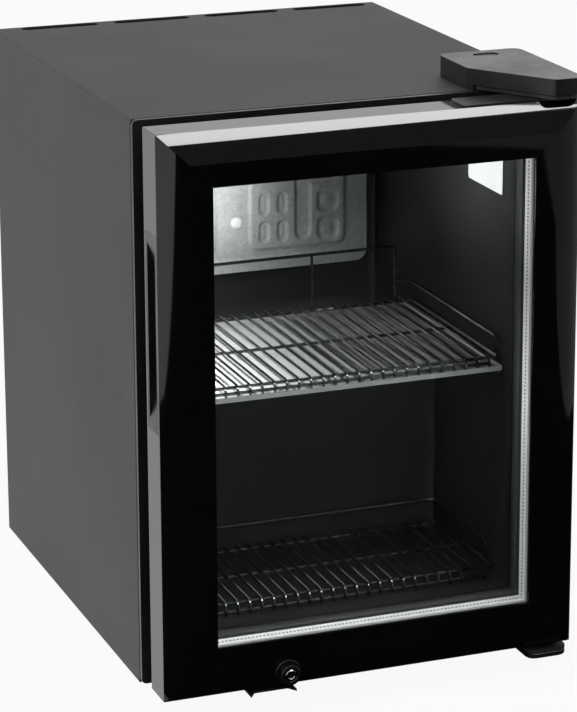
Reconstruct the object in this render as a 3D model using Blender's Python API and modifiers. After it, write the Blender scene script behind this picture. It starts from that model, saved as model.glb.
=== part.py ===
"""Bar refrigerator: a counter-top cooler with a hinged double-glazed door.

Metres, +Z up, the door faces -Y. The origin is on the floor, under the middle of the whole machine.
Run with: blender --background --python part.py
"""

import math

import bmesh
import bpy
from mathutils import Matrix, Vector

# Overall cabinet
CABINET_WIDTH = 0.382
CABINET_HEIGHT = 0.492
CABINET_DEPTH = 0.410
FOOT_HEIGHT = 0.015
SHEET = 0.001
BEND_RADIUS = 0.003
FIT = 0.0003
WELD = 0.0003

# Insulated box
SIDE_WALL = 0.041
FLOOR_WALL = 0.040
CEILING_WALL = 0.038
LINER = 0.002
LINER_CORNER = 0.010
UPPER_DEPTH = 0.305
HUMP_DEPTH = 0.160
HUMP_HEIGHT = 0.165
BACK_FOAM = 0.036
FRONT_FRAME = 0.005
FRAME_CORNER = 0.004
PAN_FLANGE = 0.012

# Air slots in the top sheet
SLOT_COUNT = 4
SLOT_LENGTH = 0.075
SLOT_WIDTH = 0.012
SLOT_PITCH = 0.090
SLOT_FROM_BACK = 0.009
SLOT_SHIFT = 0.005
BACK_FLANGE = 0.015

# Feet
FOOT_RADIUS = 0.015
FOOT_FROM_SIDE = 0.032
FOOT_FROM_FRONT = 0.045
FOOT_FROM_BACK = 0.030

# Door
DOOR_GAP = 0.0226
DOOR_INSET = 0.0033
DOOR_FROM_BOTTOM = 0.003
DOOR_FROM_TOP = 0.002
DOOR_BAND = 0.0322
CROWN_RUN = 0.026
CROWN_ANGLE = math.radians(45)
CROWN_STEPS = 6
FACE_WIDTH = 0.045
FRAME_WALL = 0.0025
BEAD_THICK = 0.0017
GLASS = 0.004
GLASS_GRIP = 0.007
SPACER_DEPTH = 0.012
SPACER_WIDTH = 0.007
SPACER_SHOW = 0.0005
INNER_PLATE = 0.003
INNER_PLINTH = 0.005
INNER_SHOW = 0.002
PLINTH_INSET = 0.006
GASKET_INSET = 0.018
GASKET_WIDTH = 0.014

# Finger recess in the handle stile
HANDLE_LENGTH = 0.167
HANDLE_ABOVE_DOOR = 0.235
HANDLE_MARGIN = 0.0016
HANDLE_DEPTH = 0.017
SCOOP_LENGTH = 0.150
SCOOP_DEPTH = 0.0125
SCOOP_LIP = 0.0035

# Hinges
HINGE_FROM_SIDE = 0.0155
PIN_RADIUS = 0.004
PIN_LENGTH = 0.015
PIN_PLAY = 0.0003
BUSH_RADIUS = 0.007
HINGE_PLATE = 0.003
CAP_LENGTH = 0.106
CAP_THICK = 0.0015
CAP_MARGIN = 0.0006
COVER_HEIGHT = 0.018
COVER_WALL = 0.002
COVER_CORNER = 0.009
COVER_DOOR_GAP = 0.004
COVER_SIDE_GAP = 0.004
COVER_WIDTH = 0.077
COVER_TAIL = 0.069
COVER_NOSE = 0.066
COVER_SHOULDER = 0.005
COVER_NOSE_WIDTH = 0.029
COVER_RECESS_LENGTH = 0.024
COVER_RECESS_WIDTH = 0.012
COVER_RECESS_DEPTH = 0.001
LOWER_HINGE_WIDTH = 0.0375
LOWER_HINGE_SIDE_GAP = 0.0065
LOWER_HINGE_CORNER = 0.008
LOWER_HINGE_TAIL = 0.014
LOWER_HINGE_NOSE = 0.059
LOWER_COVER_HEIGHT = 0.0048

# Cam lock in the bottom rail
LOCK_FROM_SIDE = 0.1067
LOCK_ABOVE_DOOR = 0.0155
LOCK_RADIUS = 0.008
LOCK_RING = 0.009
LOCK_RING_LENGTH = 0.003
LOCK_COLLAR = 0.0115
LOCK_COLLAR_LENGTH = 0.0025
LOCK_PROUD = 0.0095
LOCK_LENGTH = 0.030
PLUG_RADIUS = 0.005
PLUG_TAIL = 0.002
KEYWAY_WIDTH = 0.0012
KEYWAY_LENGTH = 0.006
KEYWAY_DEPTH = 0.004
CAM_TIP = 0.0005
CAM_WIDTH = 0.009
CAM_THICK = 0.0025
CAM_PLAY = 0.0025
KEEPER_LEFT = 0.031
KEEPER_RIGHT = 0.010
KEEPER_SHEET = 0.002
KEEPER_TAIL = 0.015
KEEPER_STRIP = 0.0087
KEEPER_BARB = 0.008
KEEPER_BARB_WIDTH = 0.0055
KEEPER_PLAY = 0.0015

# Wire shelves
WIRE_RADIUS = 0.00125
EDGE_WIRE_RATIO = 1.4
BRACE_RATIO = 0.9
RAIL_RADIUS = 0.0015
WIRE_PITCH = 0.0111
WIRE_BEND = 0.004
SHELF_SIDE_GAP = 0.0035
WIRE_EDGE_GAP = 0.006
TRAY_DEPTH = 0.0095
RAIL_FROM_FRONT = 0.006
UPPER_SHELF_ABOVE_HUMP = 0.044
UPPER_SHELF_FRONT = 0.0175
UPPER_SHELF_BACK = 0.222
UPPER_GUARD_HEIGHT = 0.049
UPPER_SIDE_GUARD = 0.017
GUARD_POST_INSET = 0.011
GUARD_POST_GAP = 0.083
UPPER_GUARD_FROM_FRONT = 0.003
LOWER_GUARD_FROM_FRONT = 0.014
LOWER_SHELF_ABOVE_FLOOR = 0.012
LOWER_SHELF_FRONT = 0.022
LOWER_SHELF_BACK = 0.153
LOWER_GUARD_OVERHANG = 0.003
LOWER_GUARD_HEIGHT = 0.019
TRAY_FLOOR = 0.002
TRAY_RIM = 0.0045
TRAY_WALL = 0.002
TRAY_SIDE_GAP = 0.0015
TRAY_OVERHANG = 0.002
RUNNER_WIDTH = 0.008
RUNNER_HEIGHT = 0.0035

# Evaporator
EVAPORATOR_STANDOFF = 0.010
EVAPORATOR_SHEET = 0.0015
EVAPORATOR_SIDE_GAP = 0.015
EVAPORATOR_ABOVE_HUMP = 0.060
EVAPORATOR_TOP_GAP = 0.010
EVAPORATOR_CORNER = 0.015
EVAPORATOR_FOLD = 0.014
FOLD_BEAD = 0.0012
EMBOSS = 0.0018
EMBOSS_FROM_MIDDLE = 0.016
EMBOSS_FROM_SIDE = 0.022
EMBOSS_FROM_FOLD = 0.008
EMBOSS_CORNER = 0.008
ISLAND_COLUMNS = 5
ISLAND_PITCH = 0.027
ISLAND_HEIGHT = 0.020
ISLAND_WIDTH = 0.008
ISLAND_WEB = 0.007
EVAPORATOR_SCREW_X = 0.004
EVAPORATOR_SCREW_LOW = 0.051
EVAPORATOR_SCREW_HIGH = 0.040
SCREW_SHANK = 0.0025
SCREW_HEAD = 0.006
SCREW_HEAD_HEIGHT = 0.0025

# Machine compartment
COMPRESSOR_X = 0.020
COMPRESSOR_FROM_BACK = 0.110
COMPRESSOR_RADIUS = 0.057
COMPRESSOR_STRETCH = 1.28
COMPRESSOR_HEIGHT = 0.118
SEAM_RIM = 0.003
FLAT_TOP_SHARE = 0.45
MOUNT_SPAN_X = 0.150
MOUNT_SPAN_Y = 0.090
MOUNT_EAR = 0.014
MOUNT_SHEET = 0.002
GROMMET_RADIUS = 0.011
GROMMET_HEIGHT = 0.010
TERMINAL_SIZE = (0.052, 0.022, 0.050)
TERMINAL_ABOVE = 0.035
GLAND_RADIUS = 0.008
GLAND_TIP_RADIUS = 0.006
GLAND_LENGTH = 0.009
DISH_SIZE = (0.120, 0.090, 0.016)
DISH_WALL = 0.002
DRAIN_RADIUS = 0.006
DRAIN_BORE = 0.004
DRAIN_DIP = 0.006

# Refrigerant circuit at the back
CONDENSER_STANDOFF = 0.028
CONDENSER_TUBE = 0.0025
CONDENSER_FROM_SIDE = 0.0417
CONDENSER_RUNS = 7
CONDENSER_PITCH = 0.041
CONDENSER_BOTTOM = 0.222
CONDENSER_WIRES = 13
CONDENSER_WIRE = 0.0009
CONDENSER_OVERRUN = 0.010
CHANNEL_WIDTH = 0.014
CHANNEL_INSET = 0.038
DRIER_RADIUS = 0.008
DRIER_LENGTH = 0.085
DRIER_NECK = 0.0035
DRIER_OFFSET = 0.017
DRIER_DROP = 0.010
PIPE_RADIUS = 0.003
PIPE_BEND = 0.014
PIPE_FROM_SIDE = 0.009
PORT_HEIGHT = 0.080
SUCTION_INSET = 0.028
SUCTION_ABOVE_DECK = 0.022
CAPILLARY_RADIUS = 0.0012
CAPILLARY_DROP = 0.022

# Thermostat on the back plate
THERMOSTAT_INSET = 0.018
THERMOSTAT_ABOVE_DECK = 0.024
THERMOSTAT_SIZE = (0.044, 0.022, 0.034)
KNOB_RADIUS = 0.014
KNOB_LENGTH = 0.015
KNOB_RIBS = 12
KNOB_RIB_RADIUS = 0.0012

# Places worked out from the sizes above, in the order of the axes
REACH = DOOR_GAP + DOOR_BAND + CROWN_RUN * math.tan(CROWN_ANGLE / 2) + LOCK_PROUD
HALF = CABINET_WIDTH / 2
INSIDE_SHEET = HALF - SHEET - FIT
INNER_HALF = HALF - SIDE_WALL
FRONT_Y = (REACH - CABINET_DEPTH) / 2
BACK_Y = FRONT_Y + CABINET_DEPTH
BASE_Z = FOOT_HEIGHT
TOP_Z = BASE_Z + CABINET_HEIGHT
FLOOR_Z = BASE_Z + FLOOR_WALL
CEILING_Z = TOP_Z - CEILING_WALL
HUMP_Z = FLOOR_Z + HUMP_HEIGHT
HUMP_Y = FRONT_Y + HUMP_DEPTH
INNER_BACK_Y = FRONT_Y + UPPER_DEPTH
PLATE_Y = INNER_BACK_Y + LINER + BACK_FOAM
BULKHEAD_Y = HUMP_Y + LINER + BACK_FOAM
DECK_Z = HUMP_Z - LINER - BACK_FOAM
PAN_TOP_Z = BASE_Z + SHEET + FIT

DOOR_HALF = HALF - DOOR_INSET
DOOR_LOW = BASE_Z + DOOR_FROM_BOTTOM
DOOR_HIGH = TOP_Z - DOOR_FROM_TOP
DOOR_MID_Z = (DOOR_LOW + DOOR_HIGH) / 2
DOOR_TALL = DOOR_HIGH - DOOR_LOW
DOOR_BACK_Y = FRONT_Y - DOOR_GAP
DOOR_THICK = DOOR_BAND + CROWN_RUN * math.tan(CROWN_ANGLE / 2)
HINGE_X = DOOR_HALF - HINGE_FROM_SIDE
HINGE_Y = DOOR_BACK_Y - DOOR_BAND / 2
LOCK_X = LOCK_FROM_SIDE - DOOR_HALF
LOCK_Z = DOOR_LOW + LOCK_ABOVE_DOOR
LOCK_FRONT_Y = DOOR_BACK_Y - DOOR_THICK - LOCK_PROUD
CAM_Y = LOCK_FRONT_Y + LOCK_LENGTH + PLUG_TAIL
KEEPER_TOP_Z = BASE_Z - FIT
CAM_REACH = LOCK_Z - KEEPER_TOP_Z + KEEPER_SHEET + CAM_TIP
UPPER_SHELF_Z = HUMP_Z + UPPER_SHELF_ABOVE_HUMP
LOWER_SHELF_Z = FLOOR_Z + LOWER_SHELF_ABOVE_FLOOR
EVAPORATOR_Y = INNER_BACK_Y - EVAPORATOR_STANDOFF
CONDENSER_HALF = INSIDE_SHEET - CONDENSER_FROM_SIDE
CHANNEL_X = CONDENSER_HALF - CHANNEL_INSET
SUCTION_X = SUCTION_INSET - CONDENSER_HALF
THERMOSTAT_X = CONDENSER_HALF - THERMOSTAT_INSET
CONDENSER_Y = PLATE_Y + SHEET + CONDENSER_STANDOFF
COMPRESSOR_Y = BACK_Y - COMPRESSOR_FROM_BACK
MOUNT_Z = PAN_TOP_Z + GROMMET_HEIGHT + FIT
COMPRESSOR_Z = MOUNT_Z + MOUNT_SHEET + FIT

ROUND_STEPS = 20
SMALL_STEPS = 12


def clear_scene():
    for obj in list(bpy.data.objects):
        bpy.data.objects.remove(obj, do_unlink=True)


def make_collection(name):
    collection = bpy.data.collections.new(name)
    bpy.context.scene.collection.children.link(collection)
    return collection


def make_finish(name, colour, roughness, metallic=0.0, transmission=0.0):
    material = bpy.data.materials.new(name)
    material.use_nodes = True
    shader = material.node_tree.nodes["Principled BSDF"]
    shader.inputs["Base Color"].default_value = (*colour, 1.0)
    shader.inputs["Roughness"].default_value = roughness
    shader.inputs["Metallic"].default_value = metallic
    shader.inputs["Transmission Weight"].default_value = transmission
    return material


def make_finishes():
    return {
        "cabinet_paint": make_finish("cabinet_paint", (0.030, 0.030, 0.032), 0.42),
        "galvanised": make_finish("galvanised", (0.55, 0.56, 0.57), 0.45, 1.0),
        "liner_black": make_finish("liner_black", (0.012, 0.012, 0.013), 0.25),
        "frame_black": make_finish("frame_black", (0.010, 0.010, 0.011), 0.15),
        "plastic_black": make_finish("plastic_black", (0.015, 0.015, 0.016), 0.45),
        "rubber_black": make_finish("rubber_black", (0.012, 0.012, 0.012), 0.75),
        "foam": make_finish("foam", (0.75, 0.66, 0.42), 0.95),
        "glass": make_finish("glass", (0.92, 0.95, 0.94), 0.02, 0.0, 1.0),
        "spacer_silver": make_finish("spacer_silver", (0.75, 0.76, 0.77), 0.35, 1.0),
        "aluminium": make_finish("aluminium", (0.72, 0.73, 0.74), 0.38, 1.0),
        "chrome": make_finish("chrome", (0.80, 0.81, 0.82), 0.12, 1.0),
        "tray_white": make_finish("tray_white", (0.80, 0.81, 0.81), 0.30),
        "machine_black": make_finish("machine_black", (0.018, 0.018, 0.018), 0.35),
        "copper": make_finish("copper", (0.72, 0.36, 0.21), 0.30, 1.0),
    }


def add_part(name, mesh, finish, location=(0.0, 0.0, 0.0), smooth_angle=30.0):
    """A named piece of the machine, with its finish."""
    obj = bpy.data.objects.new(name, mesh)
    obj.location = location
    mesh.materials.append(FINISHES[finish])
    mesh.shade_smooth()
    mesh.set_sharp_from_angle(angle=math.radians(smooth_angle))
    PARTS.objects.link(obj)
    return obj


def add_cutter(name, mesh):
    obj = bpy.data.objects.new(name, mesh)
    obj.hide_render = True
    obj.display_type = "WIRE"
    CUTTERS.objects.link(obj)
    return obj


def combine(obj, mesh, operation):
    """Cuts the mesh from the object, or joins the mesh to it."""
    tool = add_cutter(f"{obj.name}_{operation.lower()}_{len(obj.modifiers)}", mesh)
    modifier = obj.modifiers.new(operation.lower(), "BOOLEAN")
    modifier.operation = operation
    modifier.object = tool
    return obj


def cut(obj, mesh):
    return combine(obj, mesh, "DIFFERENCE")


def join(obj, mesh):
    return combine(obj, mesh, "UNION")


def round_edges(obj, width, segments=2, angle=40.0):
    modifier = obj.modifiers.new("round_edges", "BEVEL")
    modifier.width = width
    modifier.segments = segments
    modifier.limit_method = "ANGLE"
    modifier.angle_limit = math.radians(angle)
    modifier.use_clamp_overlap = True
    return obj


def block_mesh(low, high):
    low = Vector(low)
    high = Vector(high)
    mesh = bpy.data.meshes.new("block")
    bm = bmesh.new()
    place = Matrix.LocRotScale((low + high) / 2, None, high - low)
    bmesh.ops.create_cube(bm, size=1.0, matrix=place)
    bm.to_mesh(mesh)
    bm.free()
    return mesh


def rod_mesh(start, end, radius, sides=ROUND_STEPS):
    """A plain cylinder between two points."""
    start = Vector(start)
    along = Vector(end) - start
    mesh = bpy.data.meshes.new("rod")
    bm = bmesh.new()
    turn = Vector((0, 0, 1)).rotation_difference(along)
    place = Matrix.LocRotScale(start + along / 2, turn, None)
    bmesh.ops.create_cone(
        bm,
        cap_ends=True,
        segments=sides,
        radius1=radius,
        radius2=radius,
        depth=along.length,
        matrix=place,
    )
    bm.to_mesh(mesh)
    bm.free()
    return mesh


def tray_mesh(low, high, wall, floor):
    """An open dish: a box whose top face is inset and pushed down."""
    mesh = block_mesh(low, high)
    bm = bmesh.new()
    bm.from_mesh(mesh)
    top = max(bm.faces, key=lambda face: face.calc_center_median().z)
    bmesh.ops.inset_region(bm, faces=[top], thickness=wall)
    sink = Vector((0, 0, low[2] + floor - high[2]))
    bmesh.ops.translate(bm, verts=top.verts, vec=sink)
    bm.to_mesh(mesh)
    bm.free()
    return mesh


def mesh_from_curve(curve, place):
    """The curve's solid as a mesh, with its caps welded to its sides."""
    guide = bpy.data.objects.new("guide", curve)
    bpy.context.scene.collection.objects.link(guide)
    graph = bpy.context.evaluated_depsgraph_get()
    mesh = bpy.data.meshes.new_from_object(guide.evaluated_get(graph))
    bpy.data.objects.remove(guide, do_unlink=True)
    bpy.data.curves.remove(curve)
    bm = bmesh.new()
    bm.from_mesh(mesh)
    bmesh.ops.remove_doubles(bm, verts=bm.verts, dist=1e-6)
    bmesh.ops.transform(bm, matrix=place, verts=bm.verts)
    bmesh.ops.recalc_face_normals(bm, faces=bm.faces)
    bm.to_mesh(mesh)
    bm.free()
    mesh.materials.clear()
    return mesh


PLANES = {
    "xy": Matrix.Identity(4),
    "xz": Matrix.Rotation(math.radians(90), 4, "X"),
    "yz": Matrix(((0, 0, 1, 0), (1, 0, 0, 0), (0, 1, 0, 0), (0, 0, 0, 1))),
}
NORMALS = {"xy": Vector((0, 0, 1)), "xz": Vector((0, 1, 0)), "yz": Vector((1, 0, 0))}


def outline_mesh(loops, plane, low, high):
    """A flat outline, its further loops being holes, made solid between two levels across the plane."""
    curve = bpy.data.curves.new("outline", "CURVE")
    curve.dimensions = "2D"
    curve.fill_mode = "BOTH"
    curve.extrude = (high - low) / 2
    for loop in loops:
        spline = curve.splines.new("POLY")
        spline.points.add(len(loop) - 1)
        for point, (u, v) in zip(spline.points, loop):
            point.co = (u, v, 0.0, 1.0)
        spline.use_cyclic_u = True
    middle = Matrix.Translation(NORMALS[plane] * (low + high) / 2)
    return mesh_from_curve(curve, middle @ PLANES[plane])


def wire_mesh(paths, radius, resolution=1, ratios=None):
    """Round wires, one along each path. A ratio makes its wire thicker than the rest."""
    curve = bpy.data.curves.new("wire", "CURVE")
    curve.dimensions = "3D"
    curve.bevel_depth = radius
    curve.bevel_resolution = resolution
    curve.use_fill_caps = True
    for index, path in enumerate(paths):
        spline = curve.splines.new("POLY")
        spline.points.add(len(path) - 1)
        for point, place in zip(spline.points, path):
            point.co = (*place, 1.0)
            point.radius = ratios[index] if ratios else 1.0
    return mesh_from_curve(curve, Matrix.Identity(4))


def sheet_mesh(profile, plane, low, high):
    """An open surface: a profile drawn out between two levels across its plane."""
    mesh = bpy.data.meshes.new("sheet")
    bm = bmesh.new()
    places = [PLANES[plane] @ Vector((u, v, 0.0)) + NORMALS[plane] * low for u, v in profile]
    verts = [bm.verts.new(place) for place in places]
    edges = [bm.edges.new(pair) for pair in zip(verts, verts[1:])]
    grown = bmesh.ops.extrude_edge_only(bm, edges=edges)["geom"]
    far = [item for item in grown if isinstance(item, bmesh.types.BMVert)]
    bmesh.ops.translate(bm, verts=far, vec=NORMALS[plane] * (high - low))
    bm.to_mesh(mesh)
    bm.free()
    return mesh


def thicken(obj, thickness, side):
    """Gives an open surface its thickness, on the side of its normals (1) or behind them (-1)."""
    modifier = obj.modifiers.new("thickness", "SOLIDIFY")
    modifier.thickness = thickness
    modifier.offset = side
    modifier.use_even_offset = True
    return obj


def turned(name, profile, finish, location, axis="Z", steps=ROUND_STEPS):
    """A turned piece. The profile holds (radius, height) pairs, from its top down its outer side."""
    mesh = bpy.data.meshes.new(name)
    bm = bmesh.new()
    verts = [bm.verts.new((radius, 0.0, height)) for radius, height in profile]
    for pair in zip(verts, verts[1:]):
        bm.edges.new(pair)
    if profile[0][0] > 0:
        bm.edges.new((verts[-1], verts[0]))
    bm.to_mesh(mesh)
    bm.free()
    obj = bpy.data.objects.new(name, mesh)
    obj.location = location
    if axis == "-Y":
        obj.rotation_euler = (math.radians(90), 0.0, 0.0)
    if axis == "Y":
        obj.rotation_euler = (math.radians(-90), 0.0, 0.0)
    mesh.materials.append(FINISHES[finish])
    screw = obj.modifiers.new("turn", "SCREW")
    screw.steps = steps
    screw.render_steps = steps
    screw.use_merge_vertices = True
    screw.merge_threshold = 0.00001
    PARTS.objects.link(obj)
    return obj


def arc(centre, radius, start, end, steps):
    """Points of an arc, angles in radians."""
    angles = [start + (end - start) * step / steps for step in range(steps + 1)]
    return [(centre[0] + radius * math.cos(a), centre[1] + radius * math.sin(a)) for a in angles]


def filleted(points, radius, steps, closed):
    """The path with each corner rounded, as far as its neighbours leave room."""
    points = [Vector(point) for point in points]
    count = len(points)
    rounded = []
    for index, corner in enumerate(points):
        if not closed and index in (0, count - 1):
            rounded.append(tuple(corner))
            continue
        before = points[index - 1] - corner
        after = points[(index + 1) % count] - corner
        opening = before.angle(after)
        if opening > math.radians(179):
            rounded.append(tuple(corner))
            continue
        reach = min(radius / math.tan(opening / 2), 0.49 * before.length, 0.49 * after.length)
        bisector = (before.normalized() + after.normalized()).normalized()
        true_radius = reach * math.tan(opening / 2)
        centre = corner + bisector * (true_radius / math.sin(opening / 2))
        first = corner + before.normalized() * reach - centre
        last = corner + after.normalized() * reach - centre
        swing = first.angle(last)
        for step in range(steps + 1):
            share = step / steps
            mix = first * math.sin((1 - share) * swing) + last * math.sin(share * swing)
            rounded.append(tuple(centre + mix / math.sin(swing)))
    return rounded


def rounded_rectangle(low, high, radius, steps=3):
    corners = [(low[0], low[1]), (high[0], low[1]), (high[0], high[1]), (low[0], high[1])]
    return filleted(corners, radius, steps, closed=True)


def upright_slot(centre, width, height, steps=4):
    """A stadium outline, its round ends at top and bottom."""
    radius = width / 2
    lift = height / 2 - radius
    top = arc((centre[0], centre[1] + lift), radius, 0.0, math.pi, steps)
    bottom = arc((centre[0], centre[1] - lift), radius, math.pi, 2 * math.pi, steps)
    return top + bottom


def flat_slot(centre, length, width, steps=4):
    """A stadium outline, its round ends at left and right."""
    return [
        (centre[0] - v, centre[1] + u) for u, v in upright_slot((0.0, 0.0), width, length, steps)
    ]


def inset_outline(points, distance):
    """A closed counter-clockwise outline moved inwards by a distance."""
    moved = []
    for index, point in enumerate(points):
        here = Vector(point)
        along_in = (here - Vector(points[index - 1])).normalized()
        along_out = (Vector(points[(index + 1) % len(points)]) - here).normalized()
        inward_in = Vector((-along_in.y, along_in.x))
        inward_out = Vector((-along_out.y, along_out.x))
        bisector = (inward_in + inward_out).normalized()
        moved.append(tuple(here + bisector * (distance / bisector.dot(inward_in))))
    return moved


def door_ring(low_inset, high_inset, back, front, corner=0.0):
    """A frame set in from the door's edges, between two depths measured forward from its back."""
    loops = []
    for inset in (low_inset, high_inset):
        low = (inset - DOOR_HALF, DOOR_LOW + inset)
        high = (DOOR_HALF - inset, DOOR_HIGH - inset)
        square = [low, (high[0], low[1]), high, (low[0], high[1])]
        loops.append(rounded_rectangle(low, high, corner) if corner else square)
    return outline_mesh(loops, "xz", DOOR_BACK_Y - front, DOOR_BACK_Y - back)


def make_shell():
    """Left side, top with a flange folded down at the back, and right side, bent from one sheet."""
    bend_z = TOP_Z - BEND_RADIUS
    bend_x = HALF - BEND_RADIUS
    left = arc((-bend_x, bend_z), BEND_RADIUS, math.pi, math.pi / 2, 3)
    right = arc((bend_x, bend_z), BEND_RADIUS, math.pi / 2, 0.0, 3)
    profile = [(-HALF, BASE_Z)] + left + right + [(HALF, BASE_Z)]
    shell = add_part("outer_shell", sheet_mesh(profile, "xz", FRONT_Y, BACK_Y), "cabinet_paint")
    thicken(shell, SHEET, 1)
    slot_y = BACK_Y - SLOT_FROM_BACK
    first = SLOT_SHIFT - SLOT_PITCH * (SLOT_COUNT - 1) / 2
    slots = [
        flat_slot((first + SLOT_PITCH * index, slot_y), SLOT_LENGTH, SLOT_WIDTH)
        for index in range(SLOT_COUNT)
    ]
    cut(shell, outline_mesh(slots, "xy", TOP_Z - 4 * SHEET, TOP_Z + SHEET))
    flange_low = (-bend_x, BACK_Y - WELD - SHEET, TOP_Z - BACK_FLANGE)
    flange_high = (bend_x, BACK_Y - WELD, TOP_Z - SHEET + WELD)
    join(shell, block_mesh(flange_low, flange_high))


def make_base_pan():
    flange_y = BACK_Y - FIT
    profile = [(FRONT_Y + FIT, BASE_Z), (flange_y, BASE_Z), (flange_y, BASE_Z + PAN_FLANGE)]
    pan = add_part("base_pan", sheet_mesh(profile, "yz", -INSIDE_SHEET, INSIDE_SHEET), "galvanised")
    thicken(pan, SHEET, 1)


def room_outline(grow, hump):
    """Side view of the storage room, deeper above the hump. The hump's own points come from the caller."""
    return [
        (FRONT_Y - grow, FLOOR_Z - grow),
        (HUMP_Y + grow, FLOOR_Z - grow),
        *hump,
        (INNER_BACK_Y + grow, HUMP_Z - grow),
        (INNER_BACK_Y + grow, CEILING_Z + grow),
        (FRONT_Y - grow, CEILING_Z + grow),
    ]


def make_insulation():
    front = FRONT_Y + FIT
    top = TOP_Z - SHEET - FIT
    outline = [
        (front, PAN_TOP_Z),
        (BULKHEAD_Y - FIT, PAN_TOP_Z),
        (BULKHEAD_Y - FIT, DECK_Z + FIT),
        (PLATE_Y - FIT, DECK_Z + FIT),
        (PLATE_Y - FIT, top),
        (front, top),
    ]
    mesh = outline_mesh([outline], "yz", -INSIDE_SHEET, INSIDE_SHEET)
    bm = bmesh.new()
    bm.from_mesh(mesh)
    corners = [edge for edge in bm.edges if all(vert.co.z > top - FIT for vert in edge.verts)]
    corners = [edge for edge in corners if len({vert.co.x > 0 for vert in edge.verts}) == 1]
    bmesh.ops.bevel(bm, geom=corners, offset=BEND_RADIUS, segments=1, affect="EDGES")
    bm.to_mesh(mesh)
    bm.free()
    foam = add_part("insulation", mesh, "foam")
    grow = LINER + FIT
    centre = (HUMP_Y + LINER_CORNER, HUMP_Z - LINER_CORNER)
    hump = arc(centre, LINER_CORNER - grow, math.pi, math.pi / 2, 2)
    cut(foam, outline_mesh([room_outline(grow, hump)], "yz", -INNER_HALF - grow, INNER_HALF + grow))


def make_liner():
    """The thermoformed inside: the room's own surface, open at the front."""
    mesh = outline_mesh([room_outline(0.0, [(HUMP_Y, HUMP_Z)])], "yz", -INNER_HALF, INNER_HALF)
    bm = bmesh.new()
    bm.from_mesh(mesh)
    bmesh.ops.dissolve_limit(bm, angle_limit=0.01, verts=bm.verts, edges=bm.edges)
    mouth = min(bm.faces, key=lambda face: face.calc_center_median().y)
    bmesh.ops.delete(bm, geom=[mouth], context="FACES")
    bm.to_mesh(mesh)
    bm.free()
    liner = add_part("inner_liner", mesh, "liner_black")
    round_edges(liner, LINER_CORNER)
    thicken(liner, LINER, 1)


def make_front_frame():
    outer = rounded_rectangle((-HALF + FIT, BASE_Z + FIT), (HALF - FIT, TOP_Z - FIT), FRAME_CORNER)
    inner = rounded_rectangle((-INNER_HALF, FLOOR_Z), (INNER_HALF, CEILING_Z), LINER_CORNER)
    face = FRONT_Y - FIT
    add_part("front_frame", outline_mesh([outer, inner], "xz", face - FRONT_FRAME, face), "plastic_black")


def make_back_plate():
    """Stepped sheet that closes the foam and roofs the machine compartment."""
    profile = [
        (BULKHEAD_Y, PAN_TOP_Z),
        (BULKHEAD_Y, DECK_Z),
        (PLATE_Y, DECK_Z),
        (PLATE_Y, TOP_Z - BEND_RADIUS),
    ]
    mesh = sheet_mesh(profile, "yz", -INSIDE_SHEET, INSIDE_SHEET)
    thicken(add_part("back_plate", mesh, "galvanised"), SHEET, -1)


def make_feet():
    for front, depth in (("front", FRONT_Y + FOOT_FROM_FRONT), ("rear", BACK_Y - FOOT_FROM_BACK)):
        for side, sign in (("left", -1), ("right", 1)):
            top = FOOT_HEIGHT - FIT
            profile = [
                (0.0, top),
                (FOOT_RADIUS * 0.75, top),
                (FOOT_RADIUS * 0.75, top * 0.6),
                (FOOT_RADIUS, top * 0.45),
                (FOOT_RADIUS, top * 0.12),
                (FOOT_RADIUS * 0.88, 0.0),
                (0.0, 0.0),
            ]
            place = (sign * (HALF - FOOT_FROM_SIDE), depth, 0.0)
            turned(f"foot_{front}_{side}", profile, "rubber_black", place, steps=SMALL_STEPS)


def rail_profile():
    """Section of the door frame: (inset from the door's edge, depth forward from its back)."""
    outer_radius = CROWN_RUN / math.sin(CROWN_ANGLE)
    centre = (CROWN_RUN, DOOR_THICK - outer_radius)
    inner_radius = outer_radius - FRAME_WALL
    inner_start = math.pi / 2 + math.asin((CROWN_RUN - FRAME_WALL) / inner_radius)
    outer = arc(centre, outer_radius, math.pi / 2 + CROWN_ANGLE, math.pi / 2, CROWN_STEPS)
    inner = arc(centre, inner_radius, math.pi / 2, inner_start, CROWN_STEPS)
    lip = [(FACE_WIDTH, DOOR_THICK), (FACE_WIDTH, DOOR_THICK - FRAME_WALL)]
    return [(0.0, 0.0)] + outer + lip + inner + [(FRAME_WALL, 0.0)]


def rail_mesh(length, edge, turn):
    """One mitred side of the door frame: its section drawn out, then sheared to 45 degrees at both ends."""
    mesh = outline_mesh([rail_profile()], "yz", -length / 2, length / 2)
    bm = bmesh.new()
    bm.from_mesh(mesh)
    bmesh.ops.dissolve_limit(bm, angle_limit=0.001, verts=bm.verts, edges=bm.edges)
    for vert in bm.verts:
        inset = vert.co.y
        depth = vert.co.z
        along = math.copysign(length / 2 - inset - FIT / 2, vert.co.x)
        vert.co = (along, DOOR_BACK_Y - depth, edge - inset)
    place = Matrix.Translation((0, 0, DOOR_MID_Z)) @ Matrix.Rotation(turn, 4, "Y")
    bmesh.ops.transform(bm, matrix=place, verts=bm.verts)
    bmesh.ops.recalc_face_normals(bm, faces=bm.faces)
    bm.to_mesh(mesh)
    bm.free()
    return mesh


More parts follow.
